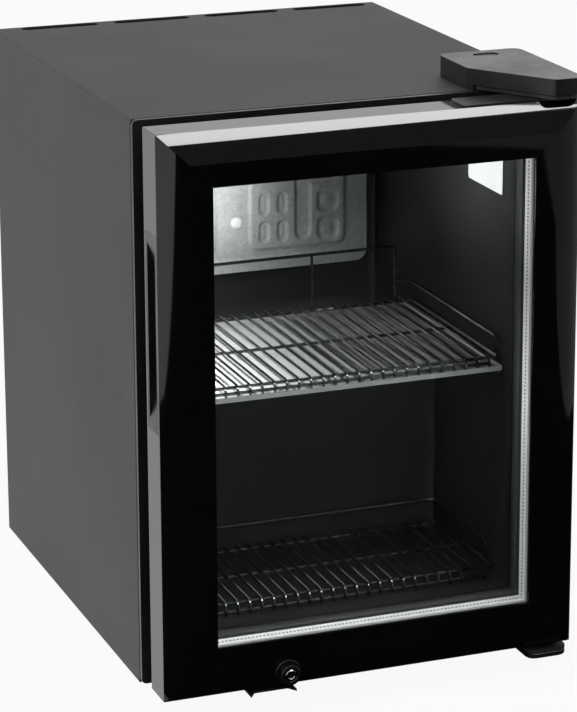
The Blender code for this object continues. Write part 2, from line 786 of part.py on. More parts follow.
def make_door_frame():
    """Four mitred sides, with the cut-outs for the hinge bushes, the lock and the handle."""
    quarter = math.pi / 2
    wide = 2 * DOOR_HALF
    top = add_part("door_rail_top", rail_mesh(wide, DOOR_TALL / 2, 0.0), "frame_black")
    bottom = add_part("door_rail_bottom", rail_mesh(wide, DOOR_TALL / 2, 2 * quarter), "frame_black")
    hinge = add_part("door_stile_hinge", rail_mesh(DOOR_TALL, DOOR_HALF, quarter), "frame_black")
    handle = add_part("door_stile_handle", rail_mesh(DOOR_TALL, DOOR_HALF, -quarter), "frame_black")

    reach = 2 * FRAME_WALL
    for rail, z in ((top, DOOR_HIGH), (bottom, DOOR_LOW)):
        low = (HINGE_X, HINGE_Y, z - reach)
        cut(rail, rod_mesh(low, (HINGE_X, HINGE_Y, z + reach), BUSH_RADIUS + FIT))

    lock_start = (LOCK_X, LOCK_FRONT_Y, LOCK_Z)
    lock_end = (LOCK_X, LOCK_FRONT_Y + LOCK_LENGTH, LOCK_Z)
    cut(bottom, rod_mesh(lock_start, lock_end, LOCK_RADIUS + FIT))
    slot_low = (LOCK_X - CAM_REACH - CAM_PLAY, CAM_Y - CAM_PLAY, DOOR_LOW - reach)
    slot_high = (LOCK_X + CAM_WIDTH / 2 + CAM_PLAY, CAM_Y + CAM_THICK + CAM_PLAY, DOOR_LOW + reach)
    cut(bottom, block_mesh(slot_low, slot_high))

    handle_low, handle_high = handle_box(FIT)
    cut(handle, block_mesh((-HALF, *handle_low), (-DOOR_HALF + reach, *handle_high)))
    return [top, bottom, hinge, handle]


def handle_box(grow):
    """Corners of the handle insert on the door's side: (y, z) low and high."""
    low_z = DOOR_LOW + HANDLE_ABOVE_DOOR
    low_y = DOOR_BACK_Y - DOOR_BAND + HANDLE_MARGIN
    high_y = DOOR_BACK_Y - INNER_PLATE - 2 * FIT
    low = (low_y - grow, low_z - grow)
    return low, (high_y + grow, low_z + HANDLE_LENGTH + grow)


def make_handle():
    """A moulded insert with a lens-shaped finger scoop, deepest at mid length."""
    (low_y, low_z), (high_y, high_z) = handle_box(0.0)
    low = (-DOOR_HALF, low_y, low_z)
    high = (-DOOR_HALF + HANDLE_DEPTH, high_y, high_z)
    insert = add_part("handle_insert", block_mesh(low, high), "plastic_black")
    radius = (SCOOP_LENGTH**2 / 4 + SCOOP_DEPTH**2) / (2 * SCOOP_DEPTH)
    centre_x = -DOOR_HALF + SCOOP_DEPTH - radius
    mid_z = (low_z + high_z) / 2
    half_angle = math.asin(SCOOP_LENGTH / 2 / radius)
    lens = arc((centre_x, mid_z), radius, -half_angle, half_angle, 12)
    back_x = -DOOR_HALF - SCOOP_DEPTH
    lens += [(back_x, lens[-1][1]), (back_x, lens[0][1])]
    cut(insert, outline_mesh([lens], "xz", low_y + SCOOP_LIP, high_y - SCOOP_LIP))
    return insert


def make_glazing():
    """From the front: bead, outer pane, spacer, inner pane, and the inner frame that clamps them."""
    bead_front = DOOR_THICK - FRAME_WALL - FIT
    bead_back = bead_front - BEAD_THICK
    edge = FACE_WIDTH - GLASS_GRIP
    bead = add_part(
        "glazing_bead", door_ring(edge, FACE_WIDTH, bead_back, bead_front), "rubber_black"
    )
    outer_front = bead_back - FIT
    spacer_front = outer_front - GLASS - FIT
    inner_front = spacer_front - SPACER_DEPTH - FIT
    clamp_front = inner_front - GLASS - FIT
    panes = []
    for name, front in (("glass_front", outer_front), ("glass_rear", inner_front)):
        low = (edge - DOOR_HALF, DOOR_BACK_Y - front, DOOR_LOW + edge)
        high = (DOOR_HALF - edge, DOOR_BACK_Y - front + GLASS, DOOR_HIGH - edge)
        panes.append(add_part(name, block_mesh(low, high), "glass"))
    inside = FACE_WIDTH + SPACER_SHOW
    spacer_mesh = door_ring(inside - SPACER_WIDTH, inside, spacer_front - SPACER_DEPTH, spacer_front)
    spacer = add_part("glass_spacer", spacer_mesh, "spacer_silver")
    clamp = add_part(
        "door_inner_frame",
        door_ring(PLINTH_INSET, FACE_WIDTH + INNER_SHOW, -INNER_PLINTH, INNER_PLATE, FRAME_CORNER),
        "plastic_black",
    )
    join(clamp, door_ring(edge, FACE_WIDTH + INNER_SHOW - WELD, INNER_PLATE - WELD, clamp_front))
    return [bead, spacer, clamp] + panes


def make_gasket():
    back = FRONT_FRAME + 2 * FIT - DOOR_GAP
    ring = door_ring(GASKET_INSET, GASKET_INSET + GASKET_WIDTH, back, -INNER_PLINTH - FIT, FRAME_CORNER)
    gasket = add_part("door_gasket", ring, "rubber_black")
    return round_edges(gasket, GASKET_WIDTH / 6, 1, 60.0)


def make_hinge_caps():
    """Moulded caps that line the two pin holes of the door."""
    low = (DOOR_HALF - CAP_LENGTH, DOOR_BACK_Y - DOOR_BAND + CAP_MARGIN)
    high = (DOOR_HALF - CAP_MARGIN, DOOR_BACK_Y - CAP_MARGIN)
    flange_z = DOOR_HIGH + FIT
    outline = rounded_rectangle(low, high, FRAME_CORNER)
    top = add_part(
        "hinge_cap_top", outline_mesh([outline], "xy", flange_z, flange_z + CAP_THICK), "plastic_black"
    )
    deep = (HINGE_X, HINGE_Y, DOOR_HIGH - PIN_LENGTH)
    join(top, rod_mesh(deep, (HINGE_X, HINGE_Y, flange_z + CAP_THICK / 2), BUSH_RADIUS))
    bore_low = (HINGE_X, HINGE_Y, DOOR_HIGH - 2 * PIN_LENGTH)
    cut(top, rod_mesh(bore_low, (HINGE_X, HINGE_Y, DOOR_HIGH + PIN_LENGTH), PIN_RADIUS + PIN_PLAY))

    flange_z = DOOR_LOW - FIT
    flange_radius = BUSH_RADIUS + CAP_THICK
    profile = [
        (BUSH_RADIUS, DOOR_LOW + PIN_LENGTH),
        (BUSH_RADIUS, flange_z),
        (flange_radius, flange_z),
        (flange_radius, BASE_Z),
        (PIN_RADIUS + PIN_PLAY, BASE_Z),
        (PIN_RADIUS + PIN_PLAY, DOOR_LOW + PIN_LENGTH),
    ]
    bottom = turned("hinge_cap_bottom", profile, "plastic_black", (HINGE_X, HINGE_Y, 0.0))
    return [top, bottom]


def hinge_cover_outline():
    """Plan of the upper hinge cover, counter-clockwise: a long tail on the cabinet, a nose over the door."""
    right = HALF - COVER_SIDE_GAP
    left = right - COVER_WIDTH
    nose = FRONT_Y - COVER_NOSE
    tail = FRONT_Y + COVER_TAIL
    shoulder = FRONT_Y + COVER_SHOULDER
    return [
        (left, tail),
        (left, shoulder),
        (right - COVER_NOSE_WIDTH, nose),
        (right, nose),
        (right, tail),
    ]


def make_upper_hinge():
    outline = hinge_cover_outline()
    low = TOP_Z + FIT
    cover_loop = filleted(outline, COVER_CORNER, 3, closed=True)
    cover = add_part("upper_hinge_cover", outline_mesh([cover_loop], "xy", low, low + COVER_HEIGHT), "plastic_black")
    round_edges(cover, COVER_WALL, 2, 60.0)
    hollow = filleted(inset_outline(outline, COVER_WALL), COVER_CORNER - COVER_WALL, 3, closed=True)
    cut(cover, outline_mesh([hollow], "xy", low - COVER_WALL, low + COVER_HEIGHT - COVER_WALL))
    recess_x = HALF - COVER_SIDE_GAP - COVER_WIDTH / 2
    recess_y = FRONT_Y + COVER_TAIL - COVER_RECESS_WIDTH * 1.4
    recess = flat_slot((recess_x, recess_y), COVER_RECESS_LENGTH, COVER_RECESS_WIDTH)
    top = low + COVER_HEIGHT
    cut(cover, outline_mesh([recess], "xy", top - COVER_RECESS_DEPTH, top + COVER_RECESS_DEPTH))

    skirt_low = (-HALF, FRONT_Y - 2 * COVER_NOSE, low - COVER_DOOR_GAP)
    cut(cover, block_mesh(skirt_low, (HALF, FRONT_Y, low + COVER_DOOR_GAP)))

    leaf = filleted(inset_outline(outline, COVER_WALL + FIT), COVER_CORNER - COVER_WALL, 3, closed=True)
    plate = add_part("upper_hinge_plate", outline_mesh([leaf], "xy", low, low + HINGE_PLATE), "galvanised")
    pin_low = (HINGE_X, HINGE_Y, DOOR_HIGH - PIN_LENGTH)
    join(plate, rod_mesh(pin_low, (HINGE_X, HINGE_Y, low + HINGE_PLATE / 2), PIN_RADIUS))


def make_lower_hinge():
    right = HALF - LOWER_HINGE_SIDE_GAP
    low = (right - LOWER_HINGE_WIDTH, FRONT_Y - LOWER_HINGE_NOSE)
    high = (right, FRONT_Y + LOWER_HINGE_TAIL)
    top = BASE_Z - FIT
    outline = rounded_rectangle(low, high, LOWER_HINGE_CORNER)
    mesh = outline_mesh([outline], "xy", top - HINGE_PLATE, top)
    bracket = add_part("lower_hinge_bracket", mesh, "galvanised")
    pin_high = (HINGE_X, HINGE_Y, DOOR_LOW + PIN_LENGTH)
    join(bracket, rod_mesh((HINGE_X, HINGE_Y, top - HINGE_PLATE / 2), pin_high, PIN_RADIUS))

    cover_top = top - HINGE_PLATE - FIT
    cover_high = (right, FRONT_Y - LOWER_HINGE_TAIL)
    cover_outline = rounded_rectangle(low, cover_high, LOWER_HINGE_CORNER)
    mesh = outline_mesh([cover_outline], "xy", cover_top - LOWER_COVER_HEIGHT, cover_top)
    round_edges(add_part("lower_hinge_cover", mesh, "plastic_black"), COVER_WALL, 2, 60.0)


def make_lock():
    """Barrel in the bottom rail, and its turning plug with the cam."""
    bore = PLUG_RADIUS + PIN_PLAY
    collar_back = FIT - LOCK_PROUD
    collar_front = collar_back + LOCK_COLLAR_LENGTH
    profile = [
        (LOCK_RING, 0.0),
        (LOCK_RING, -LOCK_RING_LENGTH),
        (LOCK_RADIUS, -LOCK_RING_LENGTH),
        (LOCK_RADIUS, collar_front),
        (LOCK_COLLAR, collar_front),
        (LOCK_COLLAR, collar_back),
        (LOCK_RADIUS, collar_back),
        (LOCK_RADIUS, -LOCK_LENGTH),
        (bore, -LOCK_LENGTH),
        (bore, 0.0),
    ]
    front = (LOCK_X, LOCK_FRONT_Y, LOCK_Z)
    barrel = turned("lock_barrel", profile, "machine_black", front, axis="-Y")

    plug_end = CAM_Y - FIT
    plug_mesh = rod_mesh((LOCK_X, LOCK_FRONT_Y, LOCK_Z), (LOCK_X, plug_end, LOCK_Z), PLUG_RADIUS)
    plug = add_part("lock_plug", plug_mesh, "chrome")
    keyway_low = (LOCK_X - KEYWAY_WIDTH / 2, LOCK_FRONT_Y - FIT, LOCK_Z - KEYWAY_LENGTH / 2)
    keyway_high = (LOCK_X + KEYWAY_WIDTH / 2, LOCK_FRONT_Y + KEYWAY_DEPTH, LOCK_Z + KEYWAY_LENGTH / 2)
    cut(plug, block_mesh(keyway_low, keyway_high))

    middle_x = LOCK_X - (CAM_REACH - CAM_WIDTH / 2) / 2
    cam_outline = flat_slot((middle_x, LOCK_Z), CAM_REACH + CAM_WIDTH / 2, CAM_WIDTH)
    cam = add_part("lock_cam", outline_mesh([cam_outline], "xz", CAM_Y, CAM_Y + CAM_THICK), "machine_black")
    return barrel, [plug, cam]


def make_keeper():
    """Plate under the cabinet with a slot that takes the turned cam, and a barb at each front corner."""
    left = LOCK_X - KEEPER_LEFT
    right = LOCK_X + KEEPER_RIGHT
    slot_front = CAM_Y - KEEPER_PLAY
    front = slot_front - KEEPER_STRIP
    tip = front - KEEPER_BARB
    outline = [
        (left, FRONT_Y + KEEPER_TAIL),
        (left, tip),
        (left + KEEPER_BARB_WIDTH, front),
        (right - KEEPER_BARB_WIDTH, front),
        (right, tip),
        (right, FRONT_Y + KEEPER_TAIL),
    ]
    sweep = math.sqrt(CAM_REACH**2 - (LOCK_Z - KEEPER_TOP_Z) ** 2) + KEEPER_PLAY
    slot_left = LOCK_X - sweep
    slot_right = LOCK_X + CAM_WIDTH / 2 + KEEPER_PLAY
    slot_back = CAM_Y + CAM_THICK + KEEPER_PLAY
    slot = [(slot_left, slot_front), (slot_right, slot_front), (slot_right, slot_back), (slot_left, slot_back)]
    mesh = outline_mesh([outline, slot], "xy", KEEPER_TOP_Z - KEEPER_SHEET, KEEPER_TOP_Z)
    add_part("lock_keeper", mesh, "machine_black")


def shelf_side():
    return INNER_HALF - SHELF_SIDE_GAP


def make_shelf(name, front, back, wire_z, drop):
    """A welded wire shelf: wires run front to back over cross rails and turn down at the front."""
    side = shelf_side()
    front_y = FRONT_Y + front
    back_y = FRONT_Y + back
    span = 2 * (side - WIRE_EDGE_GAP)
    count = int(span / WIRE_PITCH)
    first = -WIRE_PITCH * count / 2
    bend = [(back_y, wire_z), (front_y, wire_z), (front_y, wire_z - drop)]
    bend = filleted(bend, WIRE_BEND, 1, closed=False)
    wires = []
    for index in range(count + 1):
        x = first + WIRE_PITCH * index
        wires.append([(x, y, z) for y, z in bend])
    for x in (-side, side):
        wires.append([(x, back_y, wire_z), (x, front_y, wire_z)])
    ratios = [1.0] * (count + 1) + [EDGE_WIRE_RATIO] * 2
    shelf = add_part(name, wire_mesh(wires, WIRE_RADIUS, 1, ratios), "chrome")

    touch = WIRE_RADIUS + RAIL_RADIUS - WELD
    under = wire_z - touch
    middle = (front_y + back_y) / 2
    end = side + WIRE_RADIUS
    rails = [
        (front_y + RAIL_FROM_FRONT, under, end),
        (middle, under, end),
        (back_y - RAIL_FROM_FRONT, under + WELD, end),
        (front_y + touch - WELD, wire_z - drop + 2 * RAIL_RADIUS, RAIL_RADIUS - first),
    ]
    paths = [[(-reach, y, z), (reach, y, z)] for y, z, reach in rails]
    return join(shelf, wire_mesh(paths, RAIL_RADIUS))


def make_upper_guard():
    """Back rail with four posts, and low side rails that run forward from its outer posts."""
    side = shelf_side()
    wire_z = UPPER_SHELF_Z
    foot_z = wire_z - WIRE_RADIUS - RAIL_RADIUS
    post_y = FRONT_Y + UPPER_SHELF_BACK + RAIL_RADIUS + FIT
    top_z = wire_z + UPPER_GUARD_HEIGHT
    outer = side - GUARD_POST_INSET
    loop = [(-outer, post_y, foot_z), (-outer, post_y, top_z), (outer, post_y, top_z), (outer, post_y, foot_z)]
    guard = add_part(
        "upper_shelf_guard", wire_mesh([filleted(loop, WIRE_BEND, 2, False)], RAIL_RADIUS), "chrome"
    )
    low_z = wire_z + UPPER_SIDE_GUARD
    front_y = FRONT_Y + UPPER_SHELF_FRONT + UPPER_GUARD_FROM_FRONT
    seat_z = wire_z + WIRE_RADIUS * EDGE_WIRE_RATIO + FIT
    braces = []
    for sign in (-1, 1):
        inner = sign * (outer - GUARD_POST_GAP)
        braces.append([(inner, post_y, foot_z), (inner, post_y, top_z)])
        path = [
            (sign * outer, post_y, low_z),
            (sign * side, post_y - GUARD_POST_INSET, low_z),
            (sign * side, front_y, low_z),
            (sign * side, front_y, seat_z),
        ]
        braces.append(filleted(path, WIRE_BEND, 2, closed=False))
    join(guard, wire_mesh(braces, RAIL_RADIUS * BRACE_RATIO))


def make_lower_guard():
    """One bent wire round the back and both sides of the lower shelf."""
    side = shelf_side()
    seat_z = LOWER_SHELF_Z + WIRE_RADIUS * EDGE_WIRE_RATIO + FIT
    low_z = LOWER_SHELF_Z + LOWER_GUARD_HEIGHT
    front_y = FRONT_Y + LOWER_SHELF_FRONT + LOWER_GUARD_FROM_FRONT
    back_y = FRONT_Y + LOWER_SHELF_BACK + LOWER_GUARD_OVERHANG - RAIL_RADIUS
    path = [
        (-side, front_y, seat_z),
        (-side, front_y, low_z),
        (-side, back_y, low_z),
        (side, back_y, low_z),
        (side, front_y, low_z),
        (side, front_y, seat_z),
    ]
    add_part("lower_shelf_guard", wire_mesh([filleted(path, WIRE_BEND, 2, False)], RAIL_RADIUS), "chrome")


def make_tray():
    """Drip tray under the upper shelf, on a runner along each side wall."""
    floor_top = UPPER_SHELF_Z - TRAY_DEPTH - FIT
    half = INNER_HALF - TRAY_SIDE_GAP
    front_y = FRONT_Y + UPPER_SHELF_FRONT - WIRE_RADIUS - TRAY_OVERHANG - TRAY_WALL
    back_y = FRONT_Y + UPPER_SHELF_BACK + 2 * RAIL_RADIUS + TRAY_OVERHANG + TRAY_WALL
    low = (-half, front_y, floor_top - TRAY_FLOOR)
    high = (half, back_y, low[2] + TRAY_RIM)
    add_part("shelf_tray", tray_mesh(low, high, TRAY_WALL, TRAY_FLOOR), "tray_white")
    top = low[2] - FIT
    for side, sign in (("left", -1), ("right", 1)):
        wall = sign * (INNER_HALF - FIT)
        lip = sign * (INNER_HALF - RUNNER_WIDTH)
        runner_low = (min(wall, lip), front_y, top - RUNNER_HEIGHT)
        runner_high = (max(wall, lip), back_y, top)
        runner = add_part(f"shelf_runner_{side}", block_mesh(runner_low, runner_high), "liner_black")
        round_edges(runner, RUNNER_HEIGHT / 4, 1)


def emboss_loops(sign, low_z, high_z, outer_x):
    """The raised channel of one half of the evaporator, with the flat islands left inside it."""
    inner_x = EMBOSS_FROM_MIDDLE
    step = (outer_x - inner_x) / ISLAND_COLUMNS
    oval_x = inner_x + step - ISLAND_WIDTH / 2
    slot_x = oval_x + 2 * step
    square_low = slot_x + ISLAND_WIDTH / 2 + ISLAND_WEB
    square_high = outer_x - ISLAND_WEB
    loops = [rounded_rectangle((inner_x, low_z), (outer_x, high_z), EMBOSS_CORNER)]
    slot_z = (low_z + high_z) / 2
    loops.append(upright_slot((slot_x, slot_z), ISLAND_WIDTH, high_z - low_z - 2 * ISLAND_WEB, 2))
    first_z = low_z + ISLAND_WEB + ISLAND_HEIGHT / 2
    rows = 1 + int((high_z - first_z - ISLAND_HEIGHT / 2 - ISLAND_WEB / 2) / ISLAND_PITCH)
    for row in range(rows):
        z = first_z + row * ISLAND_PITCH
        loops.append(upright_slot((oval_x, z), ISLAND_WIDTH, ISLAND_HEIGHT, 2))
        loops.append(upright_slot((oval_x + step, z), ISLAND_WIDTH, 0.95 * ISLAND_HEIGHT, 2))
        half = 0.92 * ISLAND_HEIGHT / 2
        corner = ISLAND_WIDTH / 2
        loops.append(rounded_rectangle((square_low, z - half), (square_high, z + half), corner, 2))
    return [[(sign * x, z) for x, z in points] for points in loops]


def make_evaporator():
    """Roll-bonded plate that stands off the back wall on two screws."""
    half = INNER_HALF - EVAPORATOR_SIDE_GAP
    low_z = HUMP_Z + EVAPORATOR_ABOVE_HUMP
    high_z = CEILING_Z - EVAPORATOR_TOP_GAP
    back = EVAPORATOR_Y
    front = back - EVAPORATOR_SHEET
    outline = rounded_rectangle((-half, low_z), (half, high_z), EVAPORATOR_CORNER)
    plate = add_part("evaporator_plate", outline_mesh([outline], "xz", front, back), "aluminium")
    fold_z = low_z + EVAPORATOR_FOLD
    fold_end = half - EVAPORATOR_SHEET
    fold_y = front + WELD
    fold = [(-fold_end, fold_y, fold_z), (fold_end, fold_y, fold_z)]
    join(plate, wire_mesh([fold], FOLD_BEAD))
    loops = []
    for sign in (-1, 1):
        loops += emboss_loops(sign, fold_z + EMBOSS_FROM_FOLD, high_z - EMBOSS_FROM_FOLD, half - EMBOSS_FROM_SIDE)
    join(plate, outline_mesh(loops, "xz", front - EMBOSS, front + WELD))

    levels = {"lower": low_z + EVAPORATOR_SCREW_LOW, "upper": high_z - EVAPORATOR_SCREW_HIGH}
    for level, z in levels.items():
        hole_start = (EVAPORATOR_SCREW_X, front - EVAPORATOR_SHEET, z)
        hole_end = (EVAPORATOR_SCREW_X, back + EVAPORATOR_SHEET, z)
        cut(plate, rod_mesh(hole_start, hole_end, SCREW_SHANK + FIT, SMALL_STEPS))
        tip = -(INNER_BACK_Y - FIT - front)
        profile = [
            (0.0, FIT + SCREW_HEAD_HEIGHT),
            (SCREW_HEAD * 0.6, FIT + SCREW_HEAD_HEIGHT),
            (SCREW_HEAD, FIT + SCREW_HEAD_HEIGHT * 0.4),
            (SCREW_HEAD, FIT),
            (SCREW_SHANK, FIT),
            (SCREW_SHANK, tip),
            (0.0, tip),
        ]
        place = (EVAPORATOR_SCREW_X, front, z)
        turned(f"evaporator_screw_{level}", profile, "galvanised", place, "-Y", SMALL_STEPS)


def make_compressor():
    """Hermetic compressor: two drawn shells with a welded rim, on a plate with four rubber mounts."""
    height = COMPRESSOR_HEIGHT
    radius = COMPRESSOR_RADIUS
    rim_z = height * 0.52
    profile = [(0.0, height), (radius * FLAT_TOP_SHARE, height)]
    profile += [
        (radius * (FLAT_TOP_SHARE + (1 - FLAT_TOP_SHARE) * math.sin(a)), rim_z + (height - rim_z) * math.cos(a))
        for a in (math.radians(step) for step in (30, 50, 70, 85))
    ]
    profile += [
        (radius, rim_z + SEAM_RIM),
        (radius + SEAM_RIM, rim_z + SEAM_RIM),
        (radius + SEAM_RIM, rim_z),
        (radius * 0.985, rim_z),
        (radius * 0.97, height * 0.25),
        (radius * 0.86, height * 0.08),
        (radius * 0.60, 0.0),
        (0.0, 0.0),
    ]
    place = (COMPRESSOR_X, COMPRESSOR_Y, COMPRESSOR_Z)
    body = turned("compressor", profile, "machine_black", place, steps=24)
    body.scale = (COMPRESSOR_STRETCH, 1.0, 1.0)

    ears = [(sx * MOUNT_SPAN_X / 2, sy * MOUNT_SPAN_Y / 2) for sx, sy in ((-1, -1), (1, -1), (1, 1), (-1, 1))]
    low = (COMPRESSOR_X - MOUNT_SPAN_X / 2 - MOUNT_EAR, COMPRESSOR_Y - MOUNT_SPAN_Y / 2 - MOUNT_EAR)
    high = (COMPRESSOR_X + MOUNT_SPAN_X / 2 + MOUNT_EAR, COMPRESSOR_Y + MOUNT_SPAN_Y / 2 + MOUNT_EAR)
    outline = rounded_rectangle(low, high, MOUNT_EAR)
    add_part(
        "compressor_plate", outline_mesh([outline], "xy", MOUNT_Z, MOUNT_Z + MOUNT_SHEET), "machine_black"
    )
    for index, (x, y) in enumerate(ears):
        top = GROMMET_HEIGHT
        profile = [
            (0.0, top),
            (GROMMET_RADIUS * 0.8, top),
            (GROMMET_RADIUS * 0.8, top * 0.6),
            (GROMMET_RADIUS, top * 0.4),
            (GROMMET_RADIUS, 0.0),
            (0.0, 0.0),
        ]
        place = (COMPRESSOR_X + x, COMPRESSOR_Y + y, PAN_TOP_Z)
        turned(f"compressor_mount_{index + 1}", profile, "rubber_black", place, steps=10)

    wide, deep, tall = TERMINAL_SIZE
    face_y = COMPRESSOR_Y + COMPRESSOR_RADIUS + SEAM_RIM + FIT
    low = (COMPRESSOR_X - wide / 2, face_y, COMPRESSOR_Z + TERMINAL_ABOVE)
    high = (COMPRESSOR_X + wide / 2, face_y + deep, low[2] + tall)
    round_edges(add_part("terminal_cover", block_mesh(low, high), "plastic_black"), COVER_WALL)
    gland = [
        (0.0, GLAND_LENGTH),
        (GLAND_TIP_RADIUS, GLAND_LENGTH),
        (GLAND_RADIUS, 0.0),
        (0.0, 0.0),
    ]
    gland_place = (COMPRESSOR_X, high[1] + FIT, low[2] + tall / 2)
    turned("cord_gland", gland, "rubber_black", gland_place, "Y", SMALL_STEPS)


def make_drain():
    """Dish on the compressor that boils off defrost water, and the pipe that fills it."""
    wide, deep, tall = DISH_SIZE
    low_z = COMPRESSOR_Z + COMPRESSOR_HEIGHT + FIT
    low = (COMPRESSOR_X - wide / 2, COMPRESSOR_Y - deep / 2, low_z)
    high = (COMPRESSOR_X + wide / 2, COMPRESSOR_Y + deep / 2, low_z + tall)
    add_part("evaporation_dish", tray_mesh(low, high, DISH_WALL, DISH_WALL), "plastic_black")
    top = DECK_Z - SHEET - FIT
    bottom = high[2] - DRAIN_DIP
    profile = [(DRAIN_RADIUS, top), (DRAIN_RADIUS, bottom), (DRAIN_BORE, bottom), (DRAIN_BORE, top)]
    turned("drain_pipe", profile, "plastic_black", (COMPRESSOR_X, COMPRESSOR_Y, 0.0), steps=SMALL_STEPS)


def condenser_path():
    """The tube's runs from the top right down to the drier, with a half-round bend after each run."""
    low_z = BASE_Z + CONDENSER_BOTTOM
    radius = CONDENSER_PITCH / 2
    path = []
    for run in range(CONDENSER_RUNS):
        z = low_z + CONDENSER_PITCH * (CONDENSER_RUNS - 1 - run)
        toward = -1 if run % 2 == 0 else 1
        path.append((-toward * CONDENSER_HALF, CONDENSER_Y, z))
        if run == CONDENSER_RUNS - 1:
            break
        for step in range(5):
            angle = math.pi / 2 - math.pi * step / 4
            x = toward * (CONDENSER_HALF + radius * math.cos(angle))
            path.append((x, CONDENSER_Y, z - radius + radius * math.sin(angle)))
    end_x = -CONDENSER_HALF - DRIER_OFFSET
    tail = [path.pop(), (end_x, CONDENSER_Y, low_z), (end_x, CONDENSER_Y, low_z - DRIER_DROP)]
    return path + filleted(tail, DRIER_DROP / 2, 2, closed=False)


def make_condenser():
    """Steel tube bent to and fro, with upright wires welded across its runs to shed the heat."""
    condenser = add_part("condenser", wire_mesh([condenser_path()], CONDENSER_TUBE), "machine_black")
    low_z = BASE_Z + CONDENSER_BOTTOM - CONDENSER_OVERRUN
    high_z = BASE_Z + CONDENSER_BOTTOM + CONDENSER_PITCH * (CONDENSER_RUNS - 1) + CONDENSER_OVERRUN
    wire_y = CONDENSER_Y + CONDENSER_TUBE + CONDENSER_WIRE - WELD
    step = 2 * CONDENSER_HALF / (CONDENSER_WIRES + 1)
    wires = []
    for index in range(CONDENSER_WIRES):
        x = -CONDENSER_HALF + step * (index + 1)
        wires.append([(x, wire_y, low_z), (x, wire_y, high_z)])
    join(condenser, wire_mesh(wires, CONDENSER_WIRE, 0))

    back = PLATE_Y + SHEET + FIT
    face = CONDENSER_Y - CONDENSER_TUBE - FIT
    for side, sign in (("left", -1), ("right", 1)):
        x = sign * CHANNEL_X
        profile = [
            (x - CHANNEL_WIDTH / 2, back),
            (x - CHANNEL_WIDTH / 2, face),
            (x + CHANNEL_WIDTH / 2, face),
            (x + CHANNEL_WIDTH / 2, back),
        ]
        mesh = sheet_mesh(profile, "xy", low_z, high_z)
        thicken(add_part(f"condenser_channel_{side}", mesh, "galvanised"), SHEET, -1)


def make_pipes():
    """Filter drier, capillary, and the compressor's discharge and suction pipes."""
    drier_x = -CONDENSER_HALF - DRIER_OFFSET
    drier_top = BASE_Z + CONDENSER_BOTTOM - DRIER_DROP - FIT
    length = DRIER_LENGTH
    profile = [
        (0.0, 0.0),
        (DRIER_NECK, 0.0),
        (DRIER_NECK, -length * 0.08),
        (DRIER_RADIUS, -length * 0.22),
        (DRIER_RADIUS, -length * 0.80),
        (DRIER_NECK, -length * 0.94),
        (DRIER_NECK, -length),
        (0.0, -length),
    ]
    turned("filter_drier", profile, "copper", (drier_x, CONDENSER_Y, drier_top), steps=SMALL_STEPS)

    start_z = drier_top - length - FIT
    low_z = start_z - CAPILLARY_DROP
    capillary = [
        (drier_x, CONDENSER_Y, start_z),
        (drier_x, CONDENSER_Y, low_z),
        (drier_x, BULKHEAD_Y + SHEET + FIT, low_z),
    ]
    path = filleted(capillary, PIPE_BEND, 3, closed=False)
    add_part("capillary_tube", wire_mesh([path], CAPILLARY_RADIUS), "copper")

    port_z = COMPRESSOR_Z + PORT_HEIGHT
    port_reach = (COMPRESSOR_RADIUS + SEAM_RIM) * COMPRESSOR_STRETCH + FIT
    pipe_x = HALF - SHEET - PIPE_FROM_SIDE
    run_z = BASE_Z + CONDENSER_BOTTOM + CONDENSER_PITCH * (CONDENSER_RUNS - 1)
    discharge = [
        (CONDENSER_HALF + FIT, CONDENSER_Y, run_z),
        (pipe_x, CONDENSER_Y, run_z),
        (pipe_x, CONDENSER_Y, port_z),
        (pipe_x, COMPRESSOR_Y, port_z),
        (COMPRESSOR_X + port_reach, COMPRESSOR_Y, port_z),
    ]
    path = filleted(discharge, PIPE_BEND, 3, closed=False)
    add_part("discharge_pipe", wire_mesh([path], PIPE_RADIUS), "copper")

    suction_z = DECK_Z + SUCTION_ABOVE_DECK
    suction = [
        (SUCTION_X, PLATE_Y + SHEET + FIT, suction_z),
        (SUCTION_X, CONDENSER_Y, suction_z),
        (SUCTION_X, CONDENSER_Y, port_z),
        (SUCTION_X, COMPRESSOR_Y, port_z),
        (COMPRESSOR_X - port_reach, COMPRESSOR_Y, port_z),
    ]
    path = filleted(suction, PIPE_BEND, 3, closed=False)
    add_part("suction_pipe", wire_mesh([path], PIPE_RADIUS), "copper")


def make_thermostat():
    """Control on the back plate, where it is set once: a box with a ribbed knob."""
    wide, deep, tall = THERMOSTAT_SIZE
    back = PLATE_Y + SHEET + FIT
    z = DECK_Z + THERMOSTAT_ABOVE_DECK
    low = (THERMOSTAT_X - wide / 2, back, z - tall / 2)
    high = (THERMOSTAT_X + wide / 2, back + deep, z + tall / 2)
    round_edges(add_part("thermostat_body", block_mesh(low, high), "plastic_black"), COVER_WALL)

    ring = []
    for step in range(2 * KNOB_RIBS):
        angle = math.pi * step / KNOB_RIBS
        radius = KNOB_RADIUS + (KNOB_RIB_RADIUS if step % 2 else 0.0)
        ring.append((THERMOSTAT_X + radius * math.cos(angle), z + radius * math.sin(angle)))
    start = back + deep + FIT
    knob = add_part("thermostat_knob", outline_mesh([ring], "xz", start, start + KNOB_LENGTH), "plastic_black")
    pointer_low = (THERMOSTAT_X - KNOB_RIB_RADIUS, start + KNOB_LENGTH - KNOB_RIB_RADIUS, z)
    pointer_high = (THERMOSTAT_X + KNOB_RIB_RADIUS, start + 2 * KNOB_LENGTH, z + KNOB_RADIUS * 0.85)
    cut(knob, block_mesh(pointer_low, pointer_high))
    return knob, (THERMOSTAT_X, start, z)


